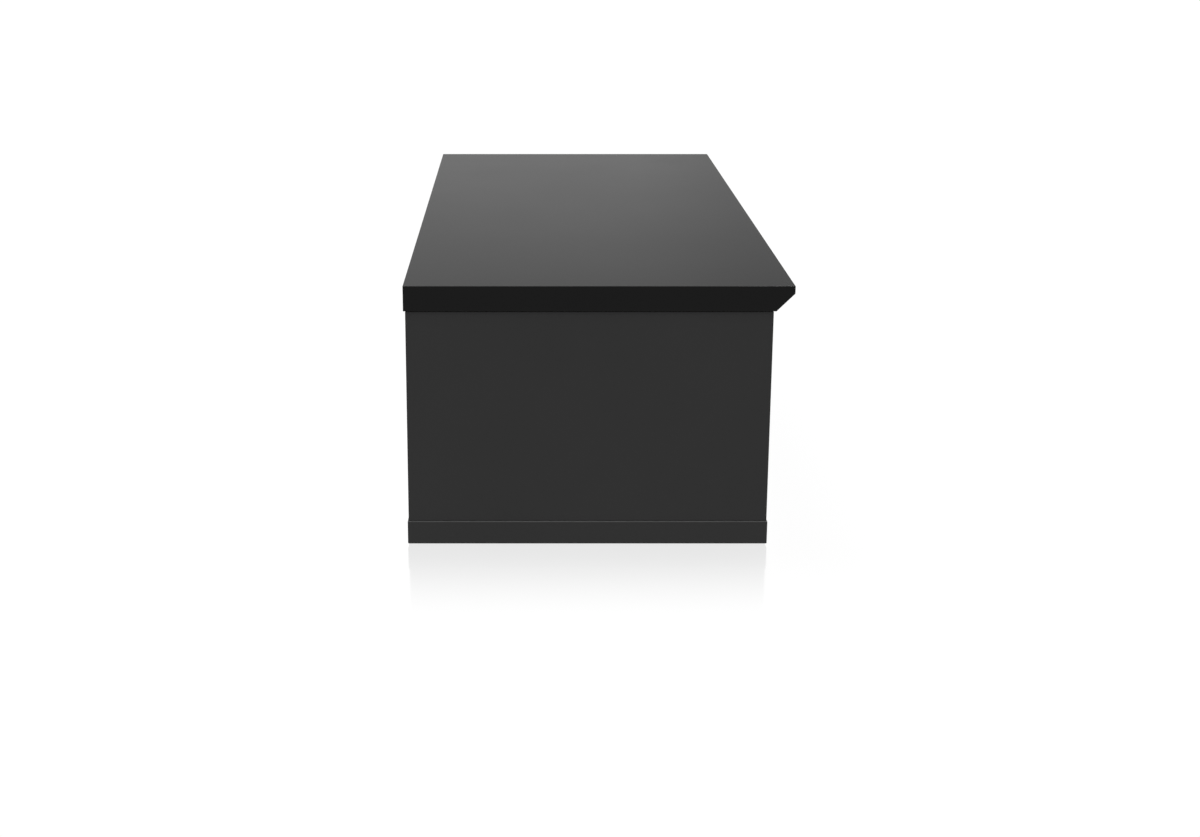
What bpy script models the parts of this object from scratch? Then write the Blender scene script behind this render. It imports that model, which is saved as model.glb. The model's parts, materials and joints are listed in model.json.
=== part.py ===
"""Lift top coffee table: a mitred box on a plinth, whose whole top swings up and towards the user.

Metres, +Z up. The origin is on the floor under the middle of the top. The table is longest along X,
its front (the side with the bevelled finger edge) faces -Y, and left means -X.

Each end of the box carries a parallelogram linkage: a drive arm and a rear arm of equal length swing
on a steel plate, and a bracket under the top hangs on both, so the top stays level as it moves. A tube
joins the two drive arms, and a torsion spring on each drive pivot takes part of the top's weight.
"""

import math

import bmesh
import bpy
from mathutils import Matrix, Vector

# ---- Driving dimensions of the table ----
TOP_LENGTH = 1.200
TOP_DEPTH = 0.600
TOP_THICKNESS = 0.040
HEIGHT = 0.425
TOP_LIP = 0.012  # upright part of the front edge, above its 45 degree undercut
TOP_EDGE_ROUNDING = 0.0008

PLINTH_HEIGHT = 0.038
PLINTH_END_INSET = 0.0015  # plinth behind the ends and the back of the top
PLINTH_FRONT_INSET = 0.030  # plinth behind the front edge of the top
BODY_STEP = 0.0015  # box set back from the plinth, all round
BOARD = 0.022
BOTTOM_BOARD = 0.018
DIVIDER_BOARD = 0.016
DIVIDER_HEIGHT = 0.180
CROSS_RAIL_BOARD = 0.018
LID_GAP = 0.0014  # between the box and the closed top
JOINT_GAP = 0.0003  # between faces that touch on the real table

GLIDE_HEIGHT = 0.003
GLIDE_RADIUS = 0.009
GLIDE_FROM_END = 0.045
GLIDE_CHAMFER = 0.001
BUMPER_RADIUS = 0.006
BUMPER_CHAMFER = 0.0004
BUMPER_FROM_EDGE = 0.050

# ---- Driving dimensions of the lift mechanism ----
ARM_LENGTH = 0.220  # between its two pivots
CLOSED_ANGLE = 12.0  # of the arms above level, pointing to the back
SWING = 103.0
PIVOT_SPREAD = 0.090  # between the two pivots of a plate, and of a bracket
PIVOT_SLOPE = -25.0  # the rear pivot lies lower than the drive pivot
DRIVE_PIVOT_Y = -0.048
BRACKET_DROP = 0.030  # drive pivot under the underside of the top
PLATE_CORNERS = ((-0.070, -0.062), (0.112, -0.062), (0.112, -0.016), (0.020, 0.060), (-0.070, 0.060))
PLATE_CORNER_RADIUS = 0.012
PLATE_SCREWS = ((-0.054, -0.046), (0.046, -0.050), (-0.014, 0.046))  # as PLATE_CORNERS, from its drive pivot
WEB_MARGIN = 0.018  # steel of a bracket's web below and behind its pivots
WEB_FRONT = (0.016, 0.075)  # web's front edge ahead of the top drive pivot, at its foot and at the flange
WEB_HEEL = 0.014  # where the web's foot turns level, ahead of the rear pivot
WEB_CORNER_RADIUS = 0.011
WEB_TRIM = 0.012  # the web is drawn this far into the flange, then trimmed with its corners
FLANGE_FRONT = 0.200  # flange's front end ahead of the top drive pivot
FLANGE_CORNER_RADIUS = 0.005
FLANGE_SCREWS = (-0.180, -0.052, 0.080)  # along Y, from the top drive pivot
STOP_AT = 0.055  # stop stud along the raised drive arm
ARM_PEG_AT = 0.060  # spring's peg along the drive arm
ARM_PEG_OFFSET = 0.004  # and above the arm's middle line
ARM_PEG_PAST_SPRING = 0.005  # from the middle of the spring's lifting leg to the peg's end
SPRING_PEG_DROP = 0.045  # spring's fixed peg below the drive pivot
SPRING_LEG_EXTRA = (0.008, 0.010)  # wire past the lifting peg, and past the fixed peg

STEEL = 0.003
ARM_STEEL = 0.004
ARM_HALF_WIDTH = 0.013
TUBE_RADIUS = 0.009
TUBE_WALL = 0.0015
TUBE_AT = 0.140  # along the drive arm
SHAFT_RADIUS = 0.006
RIVET_RADIUS = 0.005
RUNNING_GAP = 0.0003
BUSH_RADIUS = 0.008
BUSH_FLANGE_RADIUS = 0.012
DRIVE_HEAD_RADIUS = 0.013
REAR_HEAD_RADIUS = 0.011
HEAD_HEIGHT = 0.003
HEAD_CHAMFER = 0.001
RIVET_HEAD_RADIUS = 0.009
UPSET_HEIGHT = 0.0018  # of a rivet's flat end, next to the end panel
COLLAR_RADIUS = 0.008
SLEEVE_RADIUS = 0.010
SPRING_RADIUS = 0.014  # to the middle of the wire
SPRING_PITCH = 0.0044
SPRING_WHOLE_TURNS = 7
WIRE_RADIUS = 0.002
PEG_RADIUS = 0.004
BUFFER_RADIUS = 0.0075
BUFFER_PAST_ARM = 0.0005
STUD_PAST_BUFFER = 0.001

SCREW_SHANK_RADIUS = 0.002
SCREW_HEAD_RADIUS = 0.0045
SCREW_HEAD_HEIGHT = 0.0025
SCREW_LENGTH = 0.016
PILOT_RADIUS = 0.0024
CLEARANCE_HOLE_RADIUS = 0.0028

# Layers of the mechanism, counted inwards from the inner face of an end panel
PLATE_LAYER = (JOINT_GAP, JOINT_GAP + STEEL)
WEB_LAYER = (0.0038, 0.0068)
ARM_LAYER = (0.0090, 0.0090 + ARM_STEEL)
FLANGE_WIDTH = (0.0036, 0.0386)
FLANGE_SCREW_LAYER = 0.026
SPRING_START = 0.022
SLEEVE_END = 0.058

# ---- What follows from them ----
TOP_UNDERSIDE = HEIGHT - TOP_THICKNESS
PLINTH_TOP = GLIDE_HEIGHT + PLINTH_HEIGHT
PLINTH_X = TOP_LENGTH / 2 - PLINTH_END_INSET
PLINTH_FRONT = -TOP_DEPTH / 2 + PLINTH_FRONT_INSET
PLINTH_BACK = TOP_DEPTH / 2 - PLINTH_END_INSET
BODY_X = PLINTH_X - BODY_STEP
BODY_FRONT = PLINTH_FRONT + BODY_STEP
BODY_BACK = PLINTH_BACK - BODY_STEP
BODY_BASE = PLINTH_TOP + JOINT_GAP
BODY_TOP = TOP_UNDERSIDE - LID_GAP
INNER_X = BODY_X - BOARD
BOTTOM_TOP = BODY_BASE + BOTTOM_BOARD

ARM_UP = (
    math.cos(math.radians(CLOSED_ANGLE)),
    math.sin(math.radians(CLOSED_ANGLE)),
)
SPREAD = (
    PIVOT_SPREAD * math.cos(math.radians(PIVOT_SLOPE)),
    PIVOT_SPREAD * math.sin(math.radians(PIVOT_SLOPE)),
)
TOP_DRIVE_PIVOT = (DRIVE_PIVOT_Y + ARM_LENGTH * ARM_UP[0], TOP_UNDERSIDE - BRACKET_DROP)
DRIVE_PIVOT = (DRIVE_PIVOT_Y, TOP_DRIVE_PIVOT[1] - ARM_LENGTH * ARM_UP[1])
REAR_PIVOT = (DRIVE_PIVOT[0] + SPREAD[0], DRIVE_PIVOT[1] + SPREAD[1])
TOP_REAR_PIVOT = (TOP_DRIVE_PIVOT[0] + SPREAD[0], TOP_DRIVE_PIVOT[1] + SPREAD[1])

LEFT, RIGHT = -1, 1
SIDES = {"left": LEFT, "right": RIGHT}
ROUND_STEPS = 24
HOLE_STEPS = 16


# ---- Materials ----
def material(name, colour, roughness, metallic=0.0):
    """A Principled BSDF with this colour, roughness and metallic value."""
    made = bpy.data.materials.new(name)
    made.use_nodes = True
    shader = made.node_tree.nodes["Principled BSDF"]
    shader.inputs["Base Color"].default_value = (*colour, 1.0)
    shader.inputs["Roughness"].default_value = roughness
    shader.inputs["Metallic"].default_value = metallic
    return made


def make_materials():
    return {
        "body_lacquer": material("body_lacquer", (0.057, 0.057, 0.057), 0.55),
        "top_lacquer": material("top_lacquer", (0.005, 0.005, 0.005), 0.26),
        "mechanism_steel": material("mechanism_steel", (0.105, 0.105, 0.108), 0.45),
        "zinc_steel": material("zinc_steel", (0.62, 0.62, 0.60), 0.30, 1.0),
        "spring_steel": material("spring_steel", (0.30, 0.30, 0.31), 0.35, 1.0),
        "nylon": material("nylon", (0.60, 0.60, 0.57), 0.50),
        "rubber": material("rubber", (0.020, 0.020, 0.020), 0.80),
    }


# ---- Places ----
def across(x):
    """Puts a part drawn in (Y, Z) upright at x, its thickness along X."""
    turn = Matrix(((0, 0, 1, 0), (1, 0, 0, 0), (0, 1, 0, 0), (0, 0, 0, 1)))
    return Matrix.Translation((x, 0, 0)) @ turn


def inward(side, point):
    """Puts a part's local Z along X, pointing inwards from that end panel's inner face, at (y, z)."""
    turn = Matrix(((0, 0, -side, 0), (1, 0, 0, 0), (0, -side, 0, 0), (0, 0, 0, 1)))
    return Matrix.Translation((side * INNER_X, point[0], point[1])) @ turn


def upward(x, y, z=0.0):
    return Matrix.Translation((x, y, z))


def layer_x(side, layer):
    """The middle of a layer, as an X position."""
    return side * (INNER_X - (layer[0] + layer[1]) / 2)


def along(point, angle, distance, offset=0.0):
    """The (y, z) that is distance along angle from point, and offset to the left of that direction."""
    a = math.radians(angle)
    return (
        point[0] + distance * math.cos(a) - offset * math.sin(a),
        point[1] + distance * math.sin(a) + offset * math.cos(a),
    )


# ---- Outlines, as lists of points that run anticlockwise ----
def arc(centre, radius, start, end, steps):
    """Points from the angle start to the angle end, in degrees."""
    turns = [math.radians(start + (end - start) * i / steps) for i in range(steps + 1)]
    return [(centre[0] + radius * math.cos(t), centre[1] + radius * math.sin(t)) for t in turns]


def circle(centre, radius, steps=HOLE_STEPS):
    return arc(centre, radius, 0, 360, steps)[:-1]


def capsule(start, end, radius):
    """A bar with round ends, centred on the line from start to end."""
    angle = math.degrees(math.atan2(end[1] - start[1], end[0] - start[0]))
    return arc(end, radius, angle - 90, angle + 90, 10) + arc(start, radius, angle + 90, angle + 270, 10)


def rounded(points, radius, steps=5):
    """A convex polygon with its corners rounded."""
    outline = []
    for i, corner in enumerate(points):
        here = Vector(corner)
        back = (Vector(points[i - 1]) - here).normalized()
        onward = (Vector(points[(i + 1) % len(points)]) - here).normalized()
        half = back.angle(onward) / 2
        centre = here + (back + onward).normalized() * (radius / math.sin(half))
        reach = radius / math.tan(half)
        first = here + back * reach - centre
        last = here + onward * reach - centre
        start = math.degrees(math.atan2(first.y, first.x))
        turn = math.degrees(math.atan2(last.y, last.x)) - start
        outline += arc(centre, radius, start, start + turn % 360, steps)
    return outline


def rectangle(low, high):
    return [(low[0], low[1]), (high[0], low[1]), (high[0], high[1]), (low[0], high[1])]


# ---- Shapes ----
def keep(obj, parts, finish=None):
    """Puts an object in the table's collection, with its material."""
    parts.objects.link(obj)
    if finish is not None:
        obj.data.materials.clear()
        obj.data.materials.append(finish)
    return obj


def smooth(mesh):
    mesh.shade_smooth()
    mesh.set_sharp_from_angle(angle=math.radians(35))


def as_mesh(source):
    """A mesh object in place of a curve or of a mesh with modifiers, its caps welded."""
    graph = bpy.context.evaluated_depsgraph_get()
    mesh = bpy.data.meshes.new_from_object(source.evaluated_get(graph))
    name, place = source.name, source.matrix_world.copy()
    bpy.data.objects.remove(source)
    work = bmesh.new()
    work.from_mesh(mesh)
    bmesh.ops.remove_doubles(work, verts=work.verts, dist=1e-6)
    work.to_mesh(mesh)
    work.free()
    smooth(mesh)
    made = bpy.data.objects.new(name, mesh)
    mesh.name = name
    made.matrix_world = place
    return made


def evaluated(obj, parts, finish):
    """Links a working object, turns it into a plain mesh object and keeps that."""
    parts.objects.link(obj)
    bpy.context.view_layer.update()
    return keep(as_mesh(obj), parts, finish)


def flat_part(parts, name, outline, holes, thickness, place, finish):
    """A board or plate: an outline, cut by holes, extruded to its thickness."""
    curve = bpy.data.curves.new(name, "CURVE")
    curve.dimensions = "2D"
    curve.fill_mode = "BOTH"
    curve.extrude = thickness / 2
    for points in [outline, *holes]:
        spline = curve.splines.new("POLY")
        spline.points.add(len(points) - 1)
        for spot, (x, y) in zip(spline.points, points):
            spot.co = (x, y, 0, 1)
        spline.use_cyclic_u = True
    obj = bpy.data.objects.new(name, curve)
    obj.matrix_world = place
    return evaluated(obj, parts, finish)


def turned(parts, name, profile, place, finish, ring=False, steps=ROUND_STEPS):
    """A turned part: its profile, as (radius, height) from the top down, swept round local Z."""
    mesh = bpy.data.meshes.new(name)
    edges = [(i, i + 1) for i in range(len(profile) - 1)]
    if ring:
        edges.append((len(profile) - 1, 0))
    mesh.from_pydata([(radius, 0, height) for radius, height in profile], edges, [])
    obj = bpy.data.objects.new(name, mesh)
    obj.matrix_world = place
    screw = obj.modifiers.new("Sweep", "SCREW")
    screw.steps = screw.render_steps = steps
    screw.use_merge_vertices = True
    screw.merge_threshold = 0.00001
    return evaluated(obj, parts, finish)


def wire(parts, name, points, radius, finish):
    """A round wire through these points."""
    curve = bpy.data.curves.new(name, "CURVE")
    curve.dimensions = "3D"
    curve.bevel_depth = radius
    curve.bevel_resolution = 2
    curve.use_fill_caps = True
    spline = curve.splines.new("POLY")
    spline.points.add(len(points) - 1)
    for spot, point in zip(spline.points, points):
        spot.co = (*point, 1)
    return evaluated(bpy.data.objects.new(name, curve), parts, finish)


def box(parts, name, low, high, finish):
    mesh = bpy.data.meshes.new(name)
    work = bmesh.new()
    bmesh.ops.create_cube(work, size=1.0)
    size = Vector(high) - Vector(low)
    bmesh.ops.scale(work, vec=size, verts=work.verts)
    work.to_mesh(mesh)
    work.free()
    obj = bpy.data.objects.new(name, mesh)
    obj.matrix_world = Matrix.Translation((Vector(high) + Vector(low)) / 2)
    return keep(obj, parts, finish)


def rod_cutter(cutters, name, radius, low, high, place, steps=12):
    """A helper cylinder from low to high along the place's local Z."""
    mesh = bpy.data.meshes.new(name)
    work = bmesh.new()
    bmesh.ops.create_cone(
        work, cap_ends=True, segments=steps, radius1=radius, radius2=radius, depth=high - low
    )
    bmesh.ops.translate(work, vec=(0, 0, (low + high) / 2), verts=work.verts)
    work.to_mesh(mesh)
    work.free()
    obj = bpy.data.objects.new(name, mesh)
    obj.matrix_world = place
    return hide(obj, cutters)


def hide(obj, cutters):
    """Makes an object a helper of a Boolean, which isn't a piece of the table."""
    for home in list(obj.users_collection):
        home.objects.unlink(obj)
    cutters.objects.link(obj)
    obj.hide_render = True
    obj.display_type = "WIRE"
    return obj


def combine(obj, operation, helper):
    step = obj.modifiers.new(f"{operation.title()} {helper.name}", "BOOLEAN")
    step.operation = operation
    step.object = helper
    step.solver = "EXACT"
    attach(helper, obj)


def attach(child, parent):
    """Parents an object where it stands."""
    child.parent = parent
    child.matrix_parent_inverse = parent.matrix_world.inverted()


# ---- Box, plinth and feet ----
def mitred_board(length, thickness):
    """The plan of a board whose outer face lies on y = 0 and whose ends are cut at 45 degrees."""
    half = length / 2 - JOINT_GAP / math.sqrt(2)
    return [(-half, 0), (half, 0), (half - thickness, thickness), (thickness - half, thickness)]


def mitred_frame(parts, names, x, front, back, low, high, finish):
    """Four boards on edge, mitred at the corners: front, back, left and right."""
    middle = (front + back) / 2
    boards = (
        (names[0], 2 * x, (0, front), 0),
        (names[1], 2 * x, (0, back), 180),
        (names[2], back - front, (-x, middle), -90),
        (names[3], back - front, (x, middle), 90),
    )
    made = {}
    for name, length, (cx, cy), turn in boards:
        place = upward(cx, cy, (low + high) / 2) @ Matrix.Rotation(math.radians(turn), 4, "Z")
        plan = mitred_board(length, BOARD)
        made[name] = flat_part(parts, name, plan, [], high - low, place, finish)
    return made


def make_plinth(parts, finishes):
    names = ("plinth_front", "plinth_back", "plinth_left", "plinth_right")
    lacquer = finishes["body_lacquer"]
    mitred_frame(
        parts, names, PLINTH_X, PLINTH_FRONT, PLINTH_BACK, GLIDE_HEIGHT, PLINTH_TOP, lacquer
    )
    reach = BOARD + JOINT_GAP
    box(
        parts,
        "plinth_cross_rail",
        (-CROSS_RAIL_BOARD / 2, PLINTH_FRONT + reach, GLIDE_HEIGHT),
        (CROSS_RAIL_BOARD / 2, PLINTH_BACK - reach, PLINTH_TOP),
        lacquer,
    )


def make_glides(parts, finishes):
    """A nylon glide under each end of the front and back plinth rails."""
    rows = {"front": PLINTH_FRONT + BOARD / 2, "back": PLINTH_BACK - BOARD / 2}
    top = GLIDE_HEIGHT - JOINT_GAP
    profile = [
        (0, top),
        (GLIDE_RADIUS, top),
        (GLIDE_RADIUS, GLIDE_CHAMFER),
        (GLIDE_RADIUS - GLIDE_CHAMFER, 0),
        (0, 0),
    ]
    for row, y in rows.items():
        for end, side in SIDES.items():
            place = upward(side * (PLINTH_X - GLIDE_FROM_END), y)
            turned(parts, f"glide_{row}_{end}", profile, place, finishes["nylon"])


def make_box(parts, cutters, finishes):
    """The storage box: four mitred panels, a bottom board between them and a low divider."""
    lacquer = finishes["body_lacquer"]
    names = ("front_panel", "back_panel", "end_panel_left", "end_panel_right")
    panels = mitred_frame(
        parts, names, BODY_X, BODY_FRONT, BODY_BACK, BODY_BASE, BODY_TOP, lacquer
    )
    front = BODY_FRONT + BOARD + JOINT_GAP
    back = BODY_BACK - BOARD - JOINT_GAP
    inside = INNER_X - JOINT_GAP
    box(parts, "bottom_board", (-inside, front, BODY_BASE), (inside, back, BOTTOM_TOP), lacquer)
    box(
        parts,
        "storage_divider",
        (-DIVIDER_BOARD / 2, front, BOTTOM_TOP + JOINT_GAP),
        (DIVIDER_BOARD / 2, back, BOTTOM_TOP + JOINT_GAP + DIVIDER_HEIGHT),
        lacquer,
    )
    for end, side in SIDES.items():
        for number, point in enumerate(plate_screw_points(), 1):
            hole = rod_cutter(
                cutters,
                f"pilot_plate_{end}_{number}",
                PILOT_RADIUS,
                -SCREW_LENGTH,
                0.002,
                inward(side, point),
            )
            combine(panels[f"end_panel_{end}"], "DIFFERENCE", hole)


def make_bumpers(parts, finishes):
    """A rubber bumper near each end of the end panels' top edges."""
    rows = {"front": BODY_FRONT + BUMPER_FROM_EDGE, "back": BODY_BACK - BUMPER_FROM_EDGE}
    low, high = BODY_TOP + JOINT_GAP, TOP_UNDERSIDE - JOINT_GAP
    profile = [
        (0, high),
        (BUMPER_RADIUS - BUMPER_CHAMFER, high),
        (BUMPER_RADIUS, high - BUMPER_CHAMFER),
        (BUMPER_RADIUS, low),
        (0, low),
    ]
    for row, y in rows.items():
        for end, side in SIDES.items():
            place = upward(side * (BODY_X - BOARD / 2), y)
            turned(parts, f"top_bumper_{row}_{end}", profile, place, finishes["rubber"], steps=16)


# ---- Top ----
def make_top(parts, cutters, finishes):
    """The slab. Its front edge is undercut at 45 degrees below a narrow upright lip."""
    front, back = -TOP_DEPTH / 2, TOP_DEPTH / 2
    undercut = TOP_THICKNESS - TOP_LIP
    section = [
        (front + undercut, TOP_UNDERSIDE),
        (back, TOP_UNDERSIDE),
        (back, HEIGHT),
        (front, HEIGHT),
        (front, HEIGHT - TOP_LIP),
    ]
    slab = flat_part(
        parts, "table_top", section, [], TOP_LENGTH, across(0), finishes["top_lacquer"]
    )
    edges = slab.modifiers.new("Eased edges", "BEVEL")
    edges.width = TOP_EDGE_ROUNDING
    edges.segments = 2
    edges.limit_method = "ANGLE"
    for end, side in SIDES.items():
        for number, y in enumerate(flange_screw_rows(), 1):
            x = side * (INNER_X - FLANGE_SCREW_LAYER)
            hole = rod_cutter(
                cutters,
                f"pilot_flange_{end}_{number}",
                PILOT_RADIUS,
                -0.002,
                SCREW_LENGTH,
                upward(x, y, TOP_UNDERSIDE),
            )
            combine(slab, "DIFFERENCE", hole)


# ---- Lift mechanism ----
def plate_screw_points():
    """Where a mechanism plate is screwed to its end panel."""
    return [(DRIVE_PIVOT[0] + y, DRIVE_PIVOT[1] + z) for y, z in PLATE_SCREWS]


def flange_screw_rows():
    """Where a bracket is screwed to the top, along Y."""
    return [TOP_DRIVE_PIVOT[0] + y for y in FLANGE_SCREWS]


def stop_point():
    """The buffer that the drive arm's front edge meets when the top is up."""
    reach = ARM_HALF_WIDTH + BUFFER_RADIUS + RUNNING_GAP
    return along(DRIVE_PIVOT, CLOSED_ANGLE + SWING, STOP_AT, reach)


def spring_peg_point():
    """The peg that the spring's fixed leg pushes forwards."""
    reach = SPRING_RADIUS + WIRE_RADIUS + PEG_RADIUS + RUNNING_GAP
    return (DRIVE_PIVOT[0] - reach, DRIVE_PIVOT[1] - SPRING_PEG_DROP)


def make_plate(parts, cutters, finishes, end, side):
    """The steel plate on an end panel, with its stop stud and its spring peg welded on."""
    corners = [(DRIVE_PIVOT[0] + y, DRIVE_PIVOT[1] + z) for y, z in PLATE_CORNERS]
    holes = [circle(point, CLEARANCE_HOLE_RADIUS) for point in plate_screw_points()]
    plate = flat_part(
        parts,
        f"mechanism_plate_{end}",
        rounded(corners, PLATE_CORNER_RADIUS),
        holes,
        STEEL,
        across(layer_x(side, PLATE_LAYER)),
        finishes["mechanism_steel"],
    )
    root = PLATE_LAYER[0] + STEEL / 2
    studs = (
        ("stop_stud", stop_point(), ARM_LAYER[1] + STUD_PAST_BUFFER),
        ("spring_peg", spring_peg_point(), SLEEVE_END),
    )
    for name, point, reach in studs:
        stud = rod_cutter(
            cutters, f"{name}_{end}", PEG_RADIUS, root, reach, inward(side, point), HOLE_STEPS
        )
        combine(plate, "UNION", stud)
    low, high, bore = PLATE_LAYER[1] + JOINT_GAP, ARM_LAYER[1] + BUFFER_PAST_ARM, PEG_RADIUS + JOINT_GAP
    buffer = [(BUFFER_RADIUS, high), (BUFFER_RADIUS, low), (bore, low), (bore, high)]
    place = inward(side, stop_point())
    turned(parts, f"stop_buffer_{end}", buffer, place, finishes["rubber"], ring=True)


def screw_profile():
    """A pan head screw along local Z, its head above 0 and its shank below."""
    dome, tip = SCREW_HEAD_HEIGHT, SCREW_LENGTH - 0.003
    return [
        (0, dome),
        (SCREW_HEAD_RADIUS * 0.55, dome),
        (SCREW_HEAD_RADIUS * 0.9, dome * 0.7),
        (SCREW_HEAD_RADIUS, 0.0006),
        (SCREW_HEAD_RADIUS, 0),
        (SCREW_SHANK_RADIUS, 0),
        (SCREW_SHANK_RADIUS, -tip),
        (0, -tip - 0.002),
    ]


def make_screws(parts, finishes, end, side):
    zinc = finishes["zinc_steel"]
    on_plate = Matrix.Translation((0, 0, PLATE_LAYER[1] + JOINT_GAP))
    for number, point in enumerate(plate_screw_points(), 1):
        place = inward(side, point) @ on_plate
        turned(parts, f"plate_screw_{end}_{number}", screw_profile(), place, zinc, steps=12)
    over = Matrix.Rotation(math.pi, 4, "X")
    under_flange = TOP_UNDERSIDE - STEEL - 2 * JOINT_GAP
    for number, y in enumerate(flange_screw_rows(), 1):
        place = upward(side * (INNER_X - FLANGE_SCREW_LAYER), y, under_flange) @ over
        turned(parts, f"bracket_screw_{end}_{number}", screw_profile(), place, zinc, steps=12)


def make_base_pivots(parts, finishes, end, side):
    """The drive pivot, long enough for its spring sleeve, and the shorter rear pivot."""
    start = PLATE_LAYER[1] + JOINT_GAP
    past_arm = ARM_LAYER[1] + JOINT_GAP
    ends = (
        ("drive_pivot", DRIVE_PIVOT, SLEEVE_END + JOINT_GAP, DRIVE_HEAD_RADIUS),
        ("rear_pivot", REAR_PIVOT, past_arm, REAR_HEAD_RADIUS),
    )
    for name, point, head_at, head_radius in ends:
        head_end = head_at + HEAD_HEIGHT
        profile = [
            (0, head_end),
            (head_radius - HEAD_CHAMFER, head_end),
            (head_radius, head_end - HEAD_CHAMFER),
            (head_radius, head_at),
            (SHAFT_RADIUS, head_at),
            (SHAFT_RADIUS, start),
            (0, start),
        ]
        turned(parts, f"{name}_{end}", profile, inward(side, point), finishes["zinc_steel"])
    bore = SHAFT_RADIUS + RUNNING_GAP
    sleeve = [(SLEEVE_RADIUS, SLEEVE_END), (SLEEVE_RADIUS, past_arm), (bore, past_arm), (bore, SLEEVE_END)]
    place = inward(side, DRIVE_PIVOT)
    turned(parts, f"spring_sleeve_{end}", sleeve, place, finishes["nylon"], ring=True)


def make_bushes(parts, finishes, end, side):
    """A flanged bush in the lower end of each arm, its flange towards the plate."""
    start = PLATE_LAYER[1] + JOINT_GAP
    flange_end = ARM_LAYER[0] - JOINT_GAP
    bore = SHAFT_RADIUS + RUNNING_GAP
    profile = [
        (BUSH_RADIUS, ARM_LAYER[1]),
        (BUSH_RADIUS, flange_end),
        (BUSH_FLANGE_RADIUS, flange_end),
        (BUSH_FLANGE_RADIUS, start),
        (bore, start),
        (bore, ARM_LAYER[1]),
    ]
    for name, point in (("drive_bush", DRIVE_PIVOT), ("rear_bush", REAR_PIVOT)):
        place = inward(side, point)
        turned(parts, f"{name}_{end}", profile, place, finishes["nylon"], ring=True)


def make_arms(parts, cutters, finishes, end, side):
    """The drive arm, with the peg that its spring lifts, and the rear arm behind it."""
    steel = finishes["mechanism_steel"]
    middle = across(layer_x(side, ARM_LAYER))
    arms = (
        ("drive_arm", DRIVE_PIVOT, TOP_DRIVE_PIVOT),
        ("rear_arm", REAR_PIVOT, TOP_REAR_PIVOT),
    )
    for name, low, high in arms:
        holes = [
            circle(low, BUSH_RADIUS + JOINT_GAP, ROUND_STEPS),
            circle(high, RIVET_RADIUS + RUNNING_GAP, ROUND_STEPS),
        ]
        outline = capsule(low, high, ARM_HALF_WIDTH)
        arm = flat_part(parts, f"{name}_{end}", outline, holes, ARM_STEEL, middle, steel)
        if name == "drive_arm":
            peg = rod_cutter(
                cutters,
                f"arm_peg_{end}",
                PEG_RADIUS,
                sum(ARM_LAYER) / 2,
                SPRING_START + ARM_PEG_PAST_SPRING,
                inward(side, along(low, CLOSED_ANGLE, ARM_PEG_AT, ARM_PEG_OFFSET)),
                HOLE_STEPS,
            )
            combine(arm, "UNION", peg)


def make_cross_tube(parts, finishes):
    """The tube that makes both drive arms move together."""
    half = INNER_X - ARM_LAYER[1] - JOINT_GAP
    inner = TUBE_RADIUS - TUBE_WALL
    profile = [(TUBE_RADIUS, half), (TUBE_RADIUS, -half), (inner, -half), (inner, half)]
    y, z = along(DRIVE_PIVOT, CLOSED_ANGLE, TUBE_AT)
    place = Matrix.Translation((0, y, z)) @ Matrix.Rotation(math.radians(90), 4, "Y")
    turned(parts, "cross_tube", profile, place, finishes["mechanism_steel"], ring=True)


def make_bracket(parts, cutters, finishes, end, side):
    """The angle under the top: a flange screwed to it and a web that hangs on the two arms."""
    (y1, z1), (y2, z2) = TOP_DRIVE_PIVOT, TOP_REAR_PIVOT
    flange_top = TOP_UNDERSIDE - JOINT_GAP
    flange_middle = flange_top - STEEL / 2
    above = flange_middle + WEB_TRIM
    corners = (
        (y1 - WEB_FRONT[0], z1 - WEB_MARGIN),
        (y2 - WEB_HEEL, z2 - WEB_MARGIN),
        (y2 + WEB_MARGIN, z2 - WEB_MARGIN),
        (y2 + WEB_MARGIN, above),
        (y1 - WEB_FRONT[1], above),
    )
    steel = finishes["mechanism_steel"]
    bore = RIVET_RADIUS + RUNNING_GAP
    web_holes = [circle(p, bore, ROUND_STEPS) for p in (TOP_DRIVE_PIVOT, TOP_REAR_PIVOT)]
    web = flat_part(
        parts,
        f"web_{end}",
        rounded(corners, WEB_CORNER_RADIUS),
        web_holes,
        WEB_LAYER[1] - WEB_LAYER[0],
        across(layer_x(side, WEB_LAYER)),
        steel,
    )
    trim = box(
        parts,
        f"web_trim_{end}",
        (layer_x(side, WEB_LAYER) - 0.01, y1 - 0.2, flange_middle),
        (layer_x(side, WEB_LAYER) + 0.01, y2 + 0.1, flange_middle + 0.05),
        steel,
    )
    combine(web, "DIFFERENCE", hide(trim, cutters))
    hide(web, cutters)

    width = FLANGE_WIDTH[1] - FLANGE_WIDTH[0]
    centre_x = layer_x(side, FLANGE_WIDTH)
    low, high = y1 - FLANGE_FRONT, y2 + WEB_MARGIN
    screw_x = side * (INNER_X - FLANGE_SCREW_LAYER)
    holes = [circle((screw_x, y), CLEARANCE_HOLE_RADIUS) for y in flange_screw_rows()]
    plan = rectangle((centre_x - width / 2, low), (centre_x + width / 2, high))
    plan = rounded(plan, FLANGE_CORNER_RADIUS, 3)
    bracket = flat_part(
        parts, f"top_bracket_{end}", plan, holes, STEEL, upward(0, 0, flange_middle), steel
    )
    combine(bracket, "UNION", web)


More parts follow.
